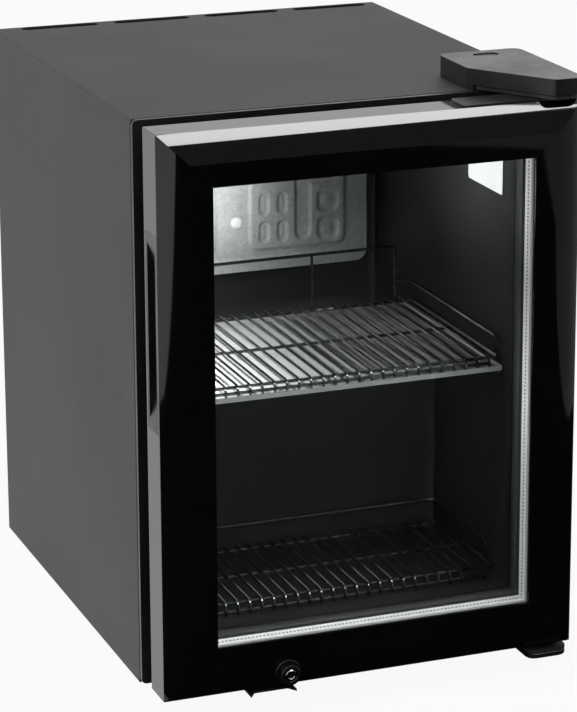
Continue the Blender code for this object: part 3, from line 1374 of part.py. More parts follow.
def add_axis(name, place, pieces):
    """An empty on a joint's axis that carries the pieces that move about it."""
    axis = bpy.data.objects.new(name, None)
    axis.location = place
    PARTS.objects.link(axis)
    bpy.context.view_layer.update()
    for piece in pieces:
        piece.parent = axis
        piece.matrix_parent_inverse = axis.matrix_world.inverted()
    return axis


def main():
    make_shell()
    make_base_pan()
    make_insulation()
    make_liner()
    make_front_frame()
    make_back_plate()
    make_feet()
    make_upper_hinge()
    make_lower_hinge()
    make_keeper()
    make_shelf("upper_shelf", UPPER_SHELF_FRONT, UPPER_SHELF_BACK, UPPER_SHELF_Z, TRAY_DEPTH)
    make_upper_guard()
    make_tray()
    lower_drop = LOWER_SHELF_ABOVE_FLOOR - FIT
    make_shelf("lower_shelf", LOWER_SHELF_FRONT, LOWER_SHELF_BACK, LOWER_SHELF_Z, lower_drop)
    make_lower_guard()
    make_evaporator()
    make_compressor()
    make_drain()
    make_condenser()
    make_pipes()

    door = make_door_frame()
    door += make_glazing()
    door.append(make_gasket())
    door.append(make_handle())
    door += make_hinge_caps()
    barrel, lock = make_lock()
    door.append(barrel)
    door_axis = add_axis("door_axis", (HINGE_X, HINGE_Y, DOOR_LOW), door)
    add_axis("lock_axis", (LOCK_X, LOCK_FRONT_Y, LOCK_Z), lock)
    lock_axis = bpy.data.objects["lock_axis"]
    lock_axis.parent = door_axis
    lock_axis.matrix_parent_inverse = door_axis.matrix_world.inverted()
    knob, knob_place = make_thermostat()
    add_axis("thermostat_axis", knob_place, [knob])


clear_scene()
PARTS = make_collection("bar_refrigerator")
CUTTERS = make_collection("cutters")
FINISHES = make_finishes()
main()
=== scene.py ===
"""Looks for the counter-top bar refrigerator: finishes, small fittings and the studio."""

import math

import bmesh
import bpy
from bpy.props import FloatProperty, FloatVectorProperty, PointerProperty
from mathutils import Matrix, Quaternion, Vector


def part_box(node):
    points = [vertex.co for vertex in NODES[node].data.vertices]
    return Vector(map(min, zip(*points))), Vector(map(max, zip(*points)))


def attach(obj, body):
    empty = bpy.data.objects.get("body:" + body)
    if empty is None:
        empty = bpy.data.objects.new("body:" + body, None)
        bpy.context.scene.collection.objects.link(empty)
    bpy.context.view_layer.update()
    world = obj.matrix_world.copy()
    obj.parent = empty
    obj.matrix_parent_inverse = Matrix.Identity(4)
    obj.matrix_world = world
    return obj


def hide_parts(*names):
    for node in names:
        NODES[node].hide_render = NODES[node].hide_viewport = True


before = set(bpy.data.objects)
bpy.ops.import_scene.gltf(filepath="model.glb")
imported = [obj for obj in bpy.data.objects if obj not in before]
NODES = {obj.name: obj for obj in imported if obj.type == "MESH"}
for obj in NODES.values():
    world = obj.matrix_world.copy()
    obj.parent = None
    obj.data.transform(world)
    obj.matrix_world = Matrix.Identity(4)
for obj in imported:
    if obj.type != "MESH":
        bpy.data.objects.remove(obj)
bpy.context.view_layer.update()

bl_info = {
    "name": "Bar Refrigerator Looks",
    "version": (1, 0, 0),
    "blender": (4, 5, 0),
    "location": "View3D > Sidebar > Bar Fridge",
    "description": "Finishes, fittings and studio for a counter-top bar refrigerator",
    "category": "Object",
}

PHOTO_SIZE = (577, 712)
FOCAL_PIXELS = 3067.0
OPTICAL_CENTRE = (320.0, 270.0)
CAMERA_PLACE = (-0.9279, -2.4868, 1.0511)
CAMERA_AZIMUTH = -21.258
CAMERA_ELEVATION = 15.451
CAMERA_ROLL = -0.080
SENSOR = 36.0
TOUCH = 0.0002
CARD_LIFT = 0.004
FAR_CARD_Y = -4.2
FLOOR_GLOW = 0.93
WELD_GAP = 0.00001
FLAT_ANGLE = 0.6
GRAIN_DISTANCE = 0.0002
SPACER_HALF_SLIT = 0.0012
STICKER_CORNER = 0.002
STICKER_FROM_FRONT = 0.055
STICKER_Z = 0.425
TRAY_LAMP_INSET = 0.020
TRAY_LAMP_RISE = 0.095
LOWER_LAMP_GAP = 0.004
PLATE_LAMP_X = -0.022
PLATE_LAMP_GAP = 0.046
WALL_LAMP_FROM_FRONT = 0.058
WALL_LAMP_SPREAD = 52.0
OVAL_RIM = 0.0017
SQUARE_RIM = 0.0040
SQUARE_CORNER = 0.006
SQUARE_DROP = 0.0015
ISLAND_CROWN = 0.35
FOLD_RISE = 0.75
FOLD_SPREAD = 1.4
CONDENSER_RUNS = 7
CONDENSER_WIRES = 27
STRAP_SHEET = 0.0006
STRAP_FOOT = 0.0075
EVAPORATOR_SCREW_HEAD = 0.0056

WIRES = ("upper_shelf", "upper_shelf_guard", "lower_shelf", "lower_shelf_guard")
RAILS = ("door_rail_top", "door_rail_bottom", "door_stile_handle", "door_stile_hinge")
FEET = ("foot_front_left", "foot_front_right", "foot_rear_left", "foot_rear_right")
MOUNTS = tuple(f"compressor_mount_{number}" for number in range(1, 5))
PIPES = ("capillary_tube", "discharge_pipe", "suction_pipe", "filter_drier")


def colour_property(name, default, description):
    """A colour that the sidebar shows."""
    return FloatVectorProperty(
        name=name, description=description, subtype="COLOR", size=3, min=0.0, max=1.0, default=default
    )


def share_property(name, default, description):
    """A value from nought to one that the sidebar shows."""
    return FloatProperty(
        name=name, description=description, subtype="FACTOR", min=0.0, max=1.0, default=default
    )


def length_property(name, default, description):
    """A length in metres that the sidebar shows."""
    return FloatProperty(name=name, description=description, unit="LENGTH", min=0.0, default=default)


def power_property(name, default, description):
    """A lamp's power that the sidebar shows."""
    return FloatProperty(name=name, description=description, unit="POWER", min=0.0, default=default)


class FinishSettings(bpy.types.PropertyGroup):
    """Colours and gloss of the main finishes."""

    cabinet: colour_property("Cabinet", (0.037, 0.037, 0.0385), "Powder coat of the outer sheet")
    cabinet_roughness: share_property("Cabinet roughness", 0.60, "How dull the powder coat is")
    door_frame: colour_property("Door frame", (0.0028, 0.0028, 0.0030), "Gloss black of the door profile")
    frame_roughness: share_property("Door frame roughness", 0.035, "How dull the door profile is")
    liner: colour_property("Liner", (0.016, 0.016, 0.017), "Moulded inner lining")
    plastic: colour_property("Black plastic", (0.007, 0.007, 0.0075), "Covers, caps and frames")
    tray: colour_property("Tray", (0.42, 0.42, 0.42), "Drip tray under the upper shelf")
    steel: colour_property("Galvanised steel", (0.58, 0.59, 0.60), "Back plate, base pan and brackets")
    evaporator: colour_property("Evaporator", (0.55, 0.56, 0.56), "Roll-bonded cooling plate")
    # The shelf wire's dark colour is partly painted reflection: the plated wire is darkened to stand for the
    # dark inside that it mirrors.
    wire: colour_property("Shelf wire", (0.22, 0.223, 0.226), "Plated wires of the shelves")
    chrome: colour_property("Chrome", (0.48, 0.485, 0.49), "Turning plug of the lock")


class FittingSettings(bpy.types.PropertyGroup):
    """Sizes of the small fittings."""

    screw_head: length_property("Screw head", 0.0034, "Radius of a pan head")
    screw_height: length_property("Screw height", 0.0019, "Height of a pan head")
    sticker_length: length_property("Sticker length", 0.072, "Blank sticker on the side wall, front to back")
    sticker_height: length_property("Sticker height", 0.034, "Blank sticker on the side wall, upwards")
    hole_pitch: length_property("Spacer slit pitch", 0.0034, "Distance between the spacer's slits")


class EvaporatorSettings(bpy.types.PropertyGroup):
    """Pressing of the roll-bonded plate."""

    sheet: length_property("Sheet", 0.0015, "Thickness of the plate")
    grid: length_property("Grid", 0.0015, "Spacing of the pressed surface's points")
    slope: length_property("Slope", 0.0018, "Width of a channel's side")
    plate_corner: length_property("Plate corner", 0.011, "Corner radius of the plate")
    corner: length_property("Channel corner", 0.009, "Corner radius of a channel")
    fold: length_property("Fold", 0.014, "Height of the fold above the lower edge")
    trim: length_property("Flap trim", 0.003, "How far the flap is cut back below")
    from_fold: length_property("Above fold", 0.008, "Flat margin between the fold and the channel")
    from_side: length_property("Beside channel", 0.022, "Flat margin at the outer side")
    from_middle: length_property("Half middle strip", 0.016, "Half of the flat strip in the middle")
    oval_x: length_property("First oval", 0.0149, "Distance of the first column of ovals inside the channel")
    oval_step: length_property("Oval step", 0.0183, "Distance to the second column of ovals")
    oval_width: length_property("Oval width", 0.007, "Width of an oval island")
    oval_height: length_property("Oval height", 0.0175, "Height of an oval island")
    slot_x: length_property("Long slot", 0.0537, "Distance of the long slot inside the channel")
    slot_width: length_property("Long slot width", 0.013, "Width of the long slot")
    square_x: length_property("Square", 0.0787, "Distance of the square islands inside the channel")
    square_width: length_property("Square width", 0.019, "Width of a square island")
    square_height: length_property("Square height", 0.0185, "Height of a square island")
    island_pitch: length_property("Island pitch", 0.027, "Distance from one row of islands to the next")
    island_web: length_property("Island web", 0.009, "Channel below the islands")
    slit_x: length_property("Slit", 0.080, "Distance of the flap's slit from the middle")
    slit_width: length_property("Slit width", 0.003, "Width of the flap's slit")


class MachineSettings(bpy.types.PropertyGroup):
    """Sizes of the fittings at the back."""

    tube: length_property("Condenser tube", 0.0025, "Radius of the condenser's tube")
    pitch: length_property("Condenser pitch", 0.041, "Distance between two runs")
    wire: length_property("Condenser wire", 0.0009, "Radius of an upright wire")
    overrun: length_property("Wire overrun", 0.010, "How far the wires pass the outer runs")
    drier_side: length_property("Drier offset", 0.017, "Distance of the drier from the bends' middle")
    channel_inset: length_property("Channel inset", 0.038, "Distance of a channel from the bends' middle")
    strap_width: length_property("Strap width", 0.005, "Width of a strap over the tube")
    nut: length_property("Nut", 0.0058, "Radius of a mount's nut over its corners")


class StudioSettings(bpy.types.PropertyGroup):
    """Light and floor."""

    floor: colour_property("Floor", (0.88, 0.88, 0.88), "Pale floor")
    sky_light: share_property("Sky light", 0.42, "Even light from all round")
    strip_power: power_property("Strip light", 21.0, "Softbox high in front that gloss shows")
    left_power: power_property("Left light", 22.0, "Soft fill at the left")
    tray_power: power_property("Tray light", 1.15, "Small lamp above the upper shelf")
    plate_power: power_property("Evaporator light", 0.095, "Small lamp at the evaporator")
    lower_power: power_property("Lower light", 0.10, "Soft lamp under the tray")
    wall_power: power_property("Wall light", 0.15, "Small lamp that faces the right inner wall")


def settings():
    """The scene's own settings groups."""
    return bpy.context.scene.bar_fridge


class FridgeSettings(bpy.types.PropertyGroup):
    """All settings of the refrigerator's looks."""

    finish: PointerProperty(type=FinishSettings)
    fitting: PointerProperty(type=FittingSettings)
    evaporator: PointerProperty(type=EvaporatorSettings)
    machine: PointerProperty(type=MachineSettings)
    studio: PointerProperty(type=StudioSettings)


def feed(tree, socket, item):
    """Links an output to a socket, or sets a number or a colour on it."""
    if isinstance(item, bpy.types.NodeSocket):
        tree.links.new(item, socket)
    elif isinstance(item, (int, float)):
        socket.default_value = item
    else:
        socket.default_value = (*item, 1.0)


def new_group(name, inputs, outputs):
    """An empty shader node group, the sockets that its input node gives and those its output node takes."""
    group = bpy.data.node_groups.new(name, "ShaderNodeTree")
    for label, default in inputs.items():
        kind = "NodeSocketColor" if isinstance(default, tuple) else "NodeSocketFloat"
        socket = group.interface.new_socket(name=label, in_out="INPUT", socket_type=kind)
        socket.default_value = default
    for label in outputs:
        kind = "NodeSocketColor" if label == "Colour" else "NodeSocketFloat"
        group.interface.new_socket(name=label, in_out="OUTPUT", socket_type=kind)
    return group, group.nodes.new("NodeGroupInput").outputs, group.nodes.new("NodeGroupOutput").inputs


def arithmetic(tree, operation, *items):
    """Result of a Math node for the given numbers or outputs."""
    node = tree.nodes.new("ShaderNodeMath")
    node.operation = operation
    for socket, item in zip(node.inputs, items):
        feed(tree, socket, item)
    return node.outputs["Value"]


def scaled_colour(tree, colour, factor):
    """A colour made lighter or darker by a factor."""
    node = tree.nodes.new("ShaderNodeVectorMath")
    node.operation = "SCALE"
    feed(tree, node.inputs[0], colour)
    feed(tree, node.inputs["Scale"], factor)
    return node.outputs["Vector"]


def noise(tree, scale, detail, roughness=0.55):
    """Noise over the object's own coordinates."""
    place = tree.nodes.new("ShaderNodeTexCoord")
    texture = tree.nodes.new("ShaderNodeTexNoise")
    texture.inputs["Detail"].default_value = detail
    texture.inputs["Roughness"].default_value = roughness
    feed(tree, texture.inputs["Vector"], place.outputs["Object"])
    feed(tree, texture.inputs["Scale"], scale)
    return texture.outputs["Fac"]


def spread(tree, value, from_low, from_high, to_low, to_high):
    """The value moved from one range to another and held inside it."""
    node = tree.nodes.new("ShaderNodeMapRange")
    labels = ("Value", "From Min", "From Max", "To Min", "To Max")
    for label, item in zip(labels, (value, from_low, from_high, to_low, to_high)):
        feed(tree, node.inputs[label], item)
    return node.outputs["Result"]


def mixed(tree, share, first, second):
    """Two colours mixed by a share."""
    node = tree.nodes.new("ShaderNodeMix")
    node.data_type = "RGBA"
    colours = [socket for socket in node.inputs if socket.type == "RGBA"]
    for socket, item in zip((node.inputs[0], *colours), (share, first, second)):
        feed(tree, socket, item)
    return [socket for socket in node.outputs if socket.type == "RGBA"][0]


def build_handling_marks():
    """Soft smears: a slightly changed colour and an uneven gloss."""
    inputs = {"Colour": (0.1, 0.1, 0.1, 1.0), "Tint": 1.1, "Smooth": 0.2, "Dull": 0.35, "Scale": 20.0}
    group, start, end = new_group("handling_marks", inputs, ("Colour", "Roughness"))
    broad = noise(group, start["Scale"], detail=5.0, roughness=0.6)
    share = spread(group, broad, 0.38, 0.66, 0.0, 1.0)
    rough = spread(group, broad, 0.38, 0.66, start["Smooth"], start["Dull"])
    tinted = scaled_colour(group, start["Colour"], start["Tint"])
    feed(group, end["Colour"], mixed(group, share, start["Colour"], tinted))
    feed(group, end["Roughness"], rough)


def build_surface_grain():
    """Fine grain of a coat or a moulded surface, as a height."""
    group, start, end = new_group("surface_grain", {"Scale": 900.0, "Depth": 1.0}, ("Height",))
    fine = noise(group, start["Scale"], detail=2.0, roughness=0.5)
    feed(group, end["Height"], arithmetic(group, "MULTIPLY", fine, start["Depth"]))


def build_zinc_spangle():
    """Crystal patches of a zinc coat, with a light and dark side each."""
    inputs = {"Colour": (0.6, 0.6, 0.6, 1.0), "Dark": 0.8, "Scale": 160.0, "Smooth": 0.3, "Dull": 0.48}
    group, start, end = new_group("zinc_spangle", inputs, ("Colour", "Roughness", "Height"))
    place = group.nodes.new("ShaderNodeTexCoord")
    cells = group.nodes.new("ShaderNodeTexVoronoi")
    feed(group, cells.inputs["Vector"], place.outputs["Object"])
    feed(group, cells.inputs["Scale"], start["Scale"])
    parts = group.nodes.new("ShaderNodeSeparateColor")
    feed(group, parts.inputs["Color"], cells.outputs["Color"])
    dark = scaled_colour(group, start["Colour"], start["Dark"])
    rough = spread(group, parts.outputs["Green"], 0.0, 1.0, start["Smooth"], start["Dull"])
    feed(group, end["Colour"], mixed(group, parts.outputs["Red"], start["Colour"], dark))
    feed(group, end["Roughness"], rough)
    feed(group, end["Height"], parts.outputs["Blue"])


def build_worn_edges():
    """A lighter rub along sharp edges."""
    inputs = {"Colour": (0.1, 0.1, 0.1, 1.0), "Bare": (0.3, 0.3, 0.3, 1.0), "Amount": 0.3}
    group, start, end = new_group("worn_edges", inputs, ("Colour",))
    surface = group.nodes.new("ShaderNodeNewGeometry")
    edge = spread(group, surface.outputs["Pointiness"], 0.54, 0.66, 0.0, 1.0)
    broken = arithmetic(group, "MULTIPLY", edge, noise(group, scale=140.0, detail=4.0))
    share = arithmetic(group, "MULTIPLY", broken, start["Amount"])
    feed(group, end["Colour"], mixed(group, share, start["Colour"], start["Bare"]))


def placed_group(tree, name, values):
    """Outputs of a node group that is set into a material with its own values."""
    node = tree.nodes.new("ShaderNodeGroup")
    node.node_tree = bpy.data.node_groups[name]
    for label, value in values.items():
        feed(tree, node.inputs[label], value)
    return node.outputs


def new_material(name):
    """A material with its Principled node."""
    material = bpy.data.materials.new(name)
    material.use_nodes = True
    return material, material.node_tree, material.node_tree.nodes["Principled BSDF"]


def add_bump(tree, shader, height, strength, distance):
    """Lets a height change the shader's normal."""
    bump = tree.nodes.new("ShaderNodeBump")
    bump.inputs["Strength"].default_value = strength
    bump.inputs["Distance"].default_value = distance
    feed(tree, bump.inputs["Height"], height)
    feed(tree, shader.inputs["Normal"], bump.outputs["Normal"])


def show_mixed(tree, share, first, second):
    """Gives the material two shaders, mixed by a share."""
    mix = tree.nodes.new("ShaderNodeMixShader")
    for socket, item in zip(mix.inputs, (share, first.outputs[0], second.outputs[0])):
        feed(tree, socket, item)
    feed(tree, tree.nodes["Material Output"].inputs["Surface"], mix.outputs["Shader"])


def coated(name, colour, gloss, marks, grain, worn=0.0, metal=0.0):
    """A painted, moulded or plated finish with smears, grain and rubbed edges.

    Pairs: least and greatest roughness, tint and scale of the smears, scale and depth of the grain.
    """
    material, tree, shader = new_material(name)
    values = {"Colour": colour, "Tint": marks[0], "Smooth": gloss[0], "Dull": gloss[1], "Scale": marks[1]}
    smears = placed_group(tree, "handling_marks", values)
    surface = smears["Colour"]
    if worn:
        bare = [min(1.0, 3.0 * part + 0.02) for part in colour]
        rub = {"Colour": surface, "Bare": bare, "Amount": worn}
        surface = placed_group(tree, "worn_edges", rub)["Colour"]
    feed(tree, shader.inputs["Base Color"], surface)
    feed(tree, shader.inputs["Roughness"], smears["Roughness"])
    shader.inputs["Metallic"].default_value = metal
    height = placed_group(tree, "surface_grain", {"Scale": grain[0], "Depth": 1.0})["Height"]
    add_bump(tree, shader, height, grain[1], GRAIN_DISTANCE)
    return material


def zinc(name, colour, dark, scale, gloss, depth=0.1, metal=1.0):
    """A zinc-coated or rolled metal sheet, with its least and greatest roughness."""
    tree, shader = new_material(name)[1:]
    ends = {"Smooth": gloss[0], "Dull": gloss[1]}
    sheet = placed_group(tree, "zinc_spangle", {"Colour": colour, "Dark": dark, "Scale": scale, **ends})
    values = {"Colour": sheet["Colour"], "Tint": 0.86, "Scale": 14.0, **ends}
    smears = placed_group(tree, "handling_marks", values)
    feed(tree, shader.inputs["Base Color"], smears["Colour"])
    feed(tree, shader.inputs["Roughness"], sheet["Roughness"])
    shader.inputs["Metallic"].default_value = metal
    add_bump(tree, shader, sheet["Height"], depth, GRAIN_DISTANCE)


def pane(name):
    """Clear glass that lets lamp light through."""
    tree, shader = new_material(name)[1:]
    values = {"Colour": (0.96, 0.98, 0.975), "Tint": 0.99, "Smooth": 0.0, "Dull": 0.018, "Scale": 9.0}
    smears = placed_group(tree, "handling_marks", values)
    feed(tree, shader.inputs["Base Color"], smears["Colour"])
    feed(tree, shader.inputs["Roughness"], smears["Roughness"])
    shader.inputs["Transmission Weight"].default_value = 1.0
    shader.inputs["IOR"].default_value = 1.45
    path = tree.nodes.new("ShaderNodeLightPath")
    clear = tree.nodes.new("ShaderNodeBsdfTransparent")
    clear.inputs["Color"].default_value = (0.93, 0.94, 0.94, 1.0)
    show_mixed(tree, path.outputs["Is Shadow Ray"], shader, clear)


def perforated(name, pitch):
    """White spacer strip with a row of small slits along the middle of each of its sides, the slits painted
    dark as painted shade inside them.
    """
    tree, shader = new_material(name)[1:]
    place = tree.nodes.new("ShaderNodeTexCoord")
    parts = tree.nodes.new("ShaderNodeSeparateXYZ")
    feed(tree, parts.inputs["Vector"], place.outputs["Object"])
    along = arithmetic(tree, "ADD", parts.outputs["X"], parts.outputs["Z"])
    wave = arithmetic(tree, "SINE", arithmetic(tree, "MULTIPLY", along, 2.0 * math.pi / pitch))
    slit = spread(tree, wave, -0.1, 0.2, 0.0, 1.0)
    low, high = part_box("glass_spacer")
    middle = arithmetic(tree, "COMPARE", parts.outputs["Y"], (low.y + high.y) / 2.0, SPACER_HALF_SLIT)
    shaded_slit = arithmetic(tree, "MULTIPLY", slit, middle)
    # The slits' near-black colour is painted shade: the darkness inside the holes.
    feed(tree, shader.inputs["Base Color"], mixed(tree, shaded_slit, (0.88, 0.88, 0.88), (0.08, 0.08, 0.08)))
    values = {"Colour": (0.8, 0.8, 0.8), "Smooth": 0.3, "Dull": 0.42, "Scale": 40.0}
    smears = placed_group(tree, "handling_marks", values)
    feed(tree, shader.inputs["Roughness"], smears["Roughness"])
    shader.inputs["Metallic"].default_value = 0.15
    add_bump(tree, shader, shaded_slit, strength=0.3, distance=-0.0004)


def make_finishes():
    """All groups and materials, made once."""
    build_handling_marks()
    build_surface_grain()
    build_zinc_spangle()
    build_worn_edges()
    look = settings().finish
    dull = look.cabinet_roughness
    coat = (dull - 0.02, dull + 0.03)
    gloss = (look.frame_roughness, look.frame_roughness * 2.0)
    rubber = (0.012, 0.012, 0.012)
    paint = (0.014, 0.014, 0.015)
    black = (0.006, 0.006, 0.0065)
    cabinet = coated("cabinet_coat", look.cabinet, coat, marks=(1.02, 5.0), grain=(1500.0, 0.22), worn=0.25)
    cabinet.node_tree.nodes["Principled BSDF"].inputs["Specular IOR Level"].default_value = 0.35
    coated("frame_gloss", look.door_frame, gloss, marks=(1.3, 9.0), grain=(60.0, 0.004))
    coated("liner_satin", look.liner, (0.36, 0.46), marks=(1.3, 12.0), grain=(700.0, 0.08))
    coated("plastic_satin", look.plastic, (0.30, 0.42), marks=(1.25, 20.0), grain=(1300.0, 0.20), worn=0.35)
    coated("rubber_matt", rubber, (0.62, 0.78), marks=(1.4, 30.0), grain=(1100.0, 0.25), worn=0.2)
    coated("tray_gloss", look.tray, (0.32, 0.44), marks=(0.96, 16.0), grain=(500.0, 0.04))
    coated("machine_paint", paint, (0.32, 0.5), marks=(1.5, 24.0), grain=(700.0, 0.3), worn=0.4)
    # The wire colour is darkened as painted reflection of the dark inside of the cabinet.
    coated("chrome_wire_dark_reflection", look.wire, (0.10, 0.18), marks=(0.9, 60.0), grain=(900.0, 0.06), metal=0.95)
    coated("chrome_lock", look.chrome, (0.06, 0.16), marks=(0.92, 90.0), grain=(900.0, 0.03), metal=1.0)
    coated("lock_black", black, (0.10, 0.2), marks=(1.5, 80.0), grain=(900.0, 0.03), worn=0.3)
    coated("copper_pipe", (0.70, 0.36, 0.22), (0.2, 0.42), marks=(0.6, 34.0), grain=(500.0, 0.06), metal=1.0)
    coated("foam_block", (0.72, 0.63, 0.42), (0.8, 0.95), marks=(0.85, 60.0), grain=(420.0, 0.7))
    coated("sticker_paper", (0.92, 0.92, 0.91), (0.4, 0.55), marks=(0.95, 60.0), grain=(900.0, 0.05))
    coated("screw_zinc", (0.80, 0.80, 0.79), (0.24, 0.36), marks=(0.9, 70.0), grain=(900.0, 0.05), metal=0.25)
    coated("braze_metal", (0.66, 0.47, 0.26), (0.26, 0.46), marks=(0.7, 60.0), grain=(600.0, 0.2), metal=1.0)
    zinc("zinc_sheet", look.steel, dark=0.82, scale=130.0, gloss=(0.28, 0.46))
    zinc("bracket_zinc", (0.34, 0.34, 0.35), dark=0.85, scale=260.0, gloss=(0.25, 0.4))
    plate = look.evaporator
    zinc("evaporator_metal", plate, dark=0.80, scale=420.0, gloss=(0.36, 0.5), depth=0.16, metal=0.25)
    pane("door_glass")
    perforated("spacer_strip", settings().fitting.hole_pitch)


def dress(names, material, bevel=0.0, angle=32.0):
    """Gives CAD nodes a finish, smooth shading and, where asked, softly rounded edges."""
    for name in names:
        obj = NODES[name]
        obj.data.materials.clear()
        obj.data.materials.append(bpy.data.materials[material])
        if "custom_normal" in obj.data.attributes:
            obj.data.attributes.remove(obj.data.attributes["custom_normal"])
        for face in obj.data.polygons:
            face.use_smooth = True
        weld = obj.modifiers.new("weld", "WELD")
        weld.merge_threshold = WELD_GAP
        if bevel:
            flat = obj.modifiers.new("flat", "DECIMATE")
            flat.decimate_type = "DISSOLVE"
            flat.angle_limit = math.radians(FLAT_ANGLE)
            edge = obj.modifiers.new("edge", "BEVEL")
            edge.width = bevel
            edge.segments = 2
            edge.limit_method = "ANGLE"
            edge.angle_limit = math.radians(angle)
            edge.use_clamp_overlap = True
            weighted = obj.modifiers.new("weighted", "WEIGHTED_NORMAL")
            weighted.keep_sharp = True
        else:
            split = obj.modifiers.new("split", "EDGE_SPLIT")
            split.split_angle = math.radians(angle)


def put(name, data):
    """A new object in the scene."""
    item = bpy.data.objects.new(name, data)
    bpy.context.scene.collection.objects.link(item)
    return item


def mesh_from(bm, name):
    """A mesh of the faces built so far."""
    mesh = bpy.data.meshes.new(name)
    bm.to_mesh(mesh)
    bm.free()
    return mesh


def finish_piece(mesh, name, body, material):
    """Puts a new piece into the scene and lets it ride on its body."""
    piece = put(name, mesh)
    mesh.materials.clear()
    mesh.materials.append(bpy.data.materials[material])
    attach(piece, body)
    return piece


def turned_rings(bm, profile, steps):
    """Closed turned body about +Z from a profile of radius and height."""
    rings = []
    for radius, height in profile:
        if radius < 1e-7:
            rings.append([bm.verts.new((0.0, 0.0, height))])
            continue
        ring = []
        for index in range(steps):
            turn = 2.0 * math.pi * index / steps
            ring.append(bm.verts.new((radius * math.cos(turn), radius * math.sin(turn), height)))
        rings.append(ring)
    for first, second in zip(rings, rings[1:]):
        for index in range(steps):
            after = (index + 1) % steps
            corners = [first[index % len(first)], first[after % len(first)]]
            corners += [second[after % len(second)], second[index % len(second)]]
            bm.faces.new(list(dict.fromkeys(corners)))


def turned_mesh(profile, steps=24):
    """A turned body as a mesh, with smooth sides."""
    bm = bmesh.new()
    turned_rings(bm, profile, steps)
    bmesh.ops.recalc_face_normals(bm, faces=bm.faces)
    return mesh_from(bm, "turned")


def carved(mesh, blocks):
    """The mesh with blocks cut out of it, each given by its size, its turn about Z and its middle."""
    piece = put("carved", mesh)
    for size, turn, middle in blocks:
        bm = bmesh.new()
        bmesh.ops.create_cube(bm, size=1.0)
        turned = Matrix.Rotation(turn, 4, "Z") @ Matrix.Diagonal((*size, 1.0))
        bmesh.ops.transform(bm, matrix=Matrix.Translation(middle) @ turned, verts=bm.verts)
        modifier = piece.modifiers.new("recess", "BOOLEAN")
        modifier.object = put("recess", mesh_from(bm, "recess"))
        modifier.operation = "DIFFERENCE"
    bpy.context.view_layer.update()
    graph = bpy.context.evaluated_depsgraph_get()
    result = bpy.data.meshes.new_from_object(piece.evaluated_get(graph))
    for modifier in list(piece.modifiers):
        bpy.data.objects.remove(modifier.object)
    bpy.data.objects.remove(piece)
    return result


def cross_screw(radius, height, shank=0.0):
    """A pan head with a cross recess that stands on the plane z = 0, with a shank below it where asked."""
    profile = [(0.0, height)]
    for step in range(1, 6):
        turn = math.pi / 2.0 * step / 5.0
        profile.append((radius * math.sin(turn), height * (0.45 + 0.55 * math.cos(turn))))
    profile.append((radius, 0.0))
    if shank:
        thin = radius * 0.42
        profile += [(thin, 0.0), (thin, -shank), (0.0, -shank)]
    else:
        profile.append((0.0, 0.0))
    recess = (radius * 1.1, radius * 0.26, height)
    middle = (0.0, 0.0, height * 1.05)
    return carved(turned_mesh(profile), [(recess, 0.0, middle), (recess, math.pi / 2.0, middle)])


def tube_rings(bm, path, radius, steps):
    """A round tube with flat ends along a path."""
    points = [Vector(point) for point in path]
    rings = []
    side = (points[1] - points[0]).orthogonal()
    for index, point in enumerate(points):
        before = points[max(index - 1, 0)]
        after = points[min(index + 1, len(points) - 1)]
        along = (after - before).normalized()
        side = (side - along * side.dot(along)).normalized()
        other = along.cross(side)
        ring = []
        for step in range(steps):
            turn = 2.0 * math.pi * step / steps
            ring.append(bm.verts.new(point + radius * (math.cos(turn) * side + math.sin(turn) * other)))
        rings.append(ring)
    for first, second in zip(rings, rings[1:]):
        for index in range(steps):
            after = (index + 1) % steps
            face = bm.faces.new((first[index], first[after], second[after], second[index]))
            face.smooth = True
    bm.faces.new(list(reversed(rings[0])))
    bm.faces.new(rings[-1])


def strap_mesh(radius, sheet, foot, width):
    """A strap over a tube that lies along X on the plane z = 0, with a flat foot at each side."""
    inner = [(-foot, 0.0), (-radius, 0.0)]
    outer = [(-foot, sheet), (-radius - sheet, sheet)]
    for step in range(13):
        turn = math.pi * (1.0 - step / 12)
        inner.append((radius * math.cos(turn), radius + radius * math.sin(turn)))
        outer.append(((radius + sheet) * math.cos(turn), radius + (radius + sheet) * math.sin(turn)))
    inner += [(radius, 0.0), (foot, 0.0)]
    outer += [(radius + sheet, sheet), (foot, sheet)]
    loop = inner + list(reversed(outer))
    count = len(loop)
    bm = bmesh.new()
    ends = []
    for x in (-width / 2, width / 2):
        ends.append([bm.verts.new((x, y, z)) for y, z in loop])
    for index in range(count):
        after = (index + 1) % count
        bm.faces.new((ends[0][index], ends[0][after], ends[1][after], ends[1][index]))
    for index in range(len(inner) - 1):
        for end in ends:
            opposite = count - 1 - index
            bm.faces.new((end[index], end[index + 1], end[opposite - 1], end[opposite]))
    bmesh.ops.recalc_face_normals(bm, faces=bm.faces)
    return mesh_from(bm, "strap")


def joined(meshes):
    """One mesh from several."""
    bm = bmesh.new()
    for mesh in meshes:
        bm.from_mesh(mesh)
    return mesh_from(bm, "joined")


def copies(template, places):
    """One mesh that holds the template at each place, turned to each direction."""
    bm = bmesh.new()
    for place, direction, turn in places:
        start = len(bm.verts)
        bm.from_mesh(template)
        bm.verts.ensure_lookup_table()
        facing = Vector(direction).to_track_quat("Z", "Y") @ Quaternion((0.0, 0.0, 1.0), turn)
        matrix = Matrix.Translation(Vector(place)) @ facing.to_matrix().to_4x4()
        bmesh.ops.transform(bm, matrix=matrix, verts=bm.verts[start:])
    return mesh_from(bm, "copies")


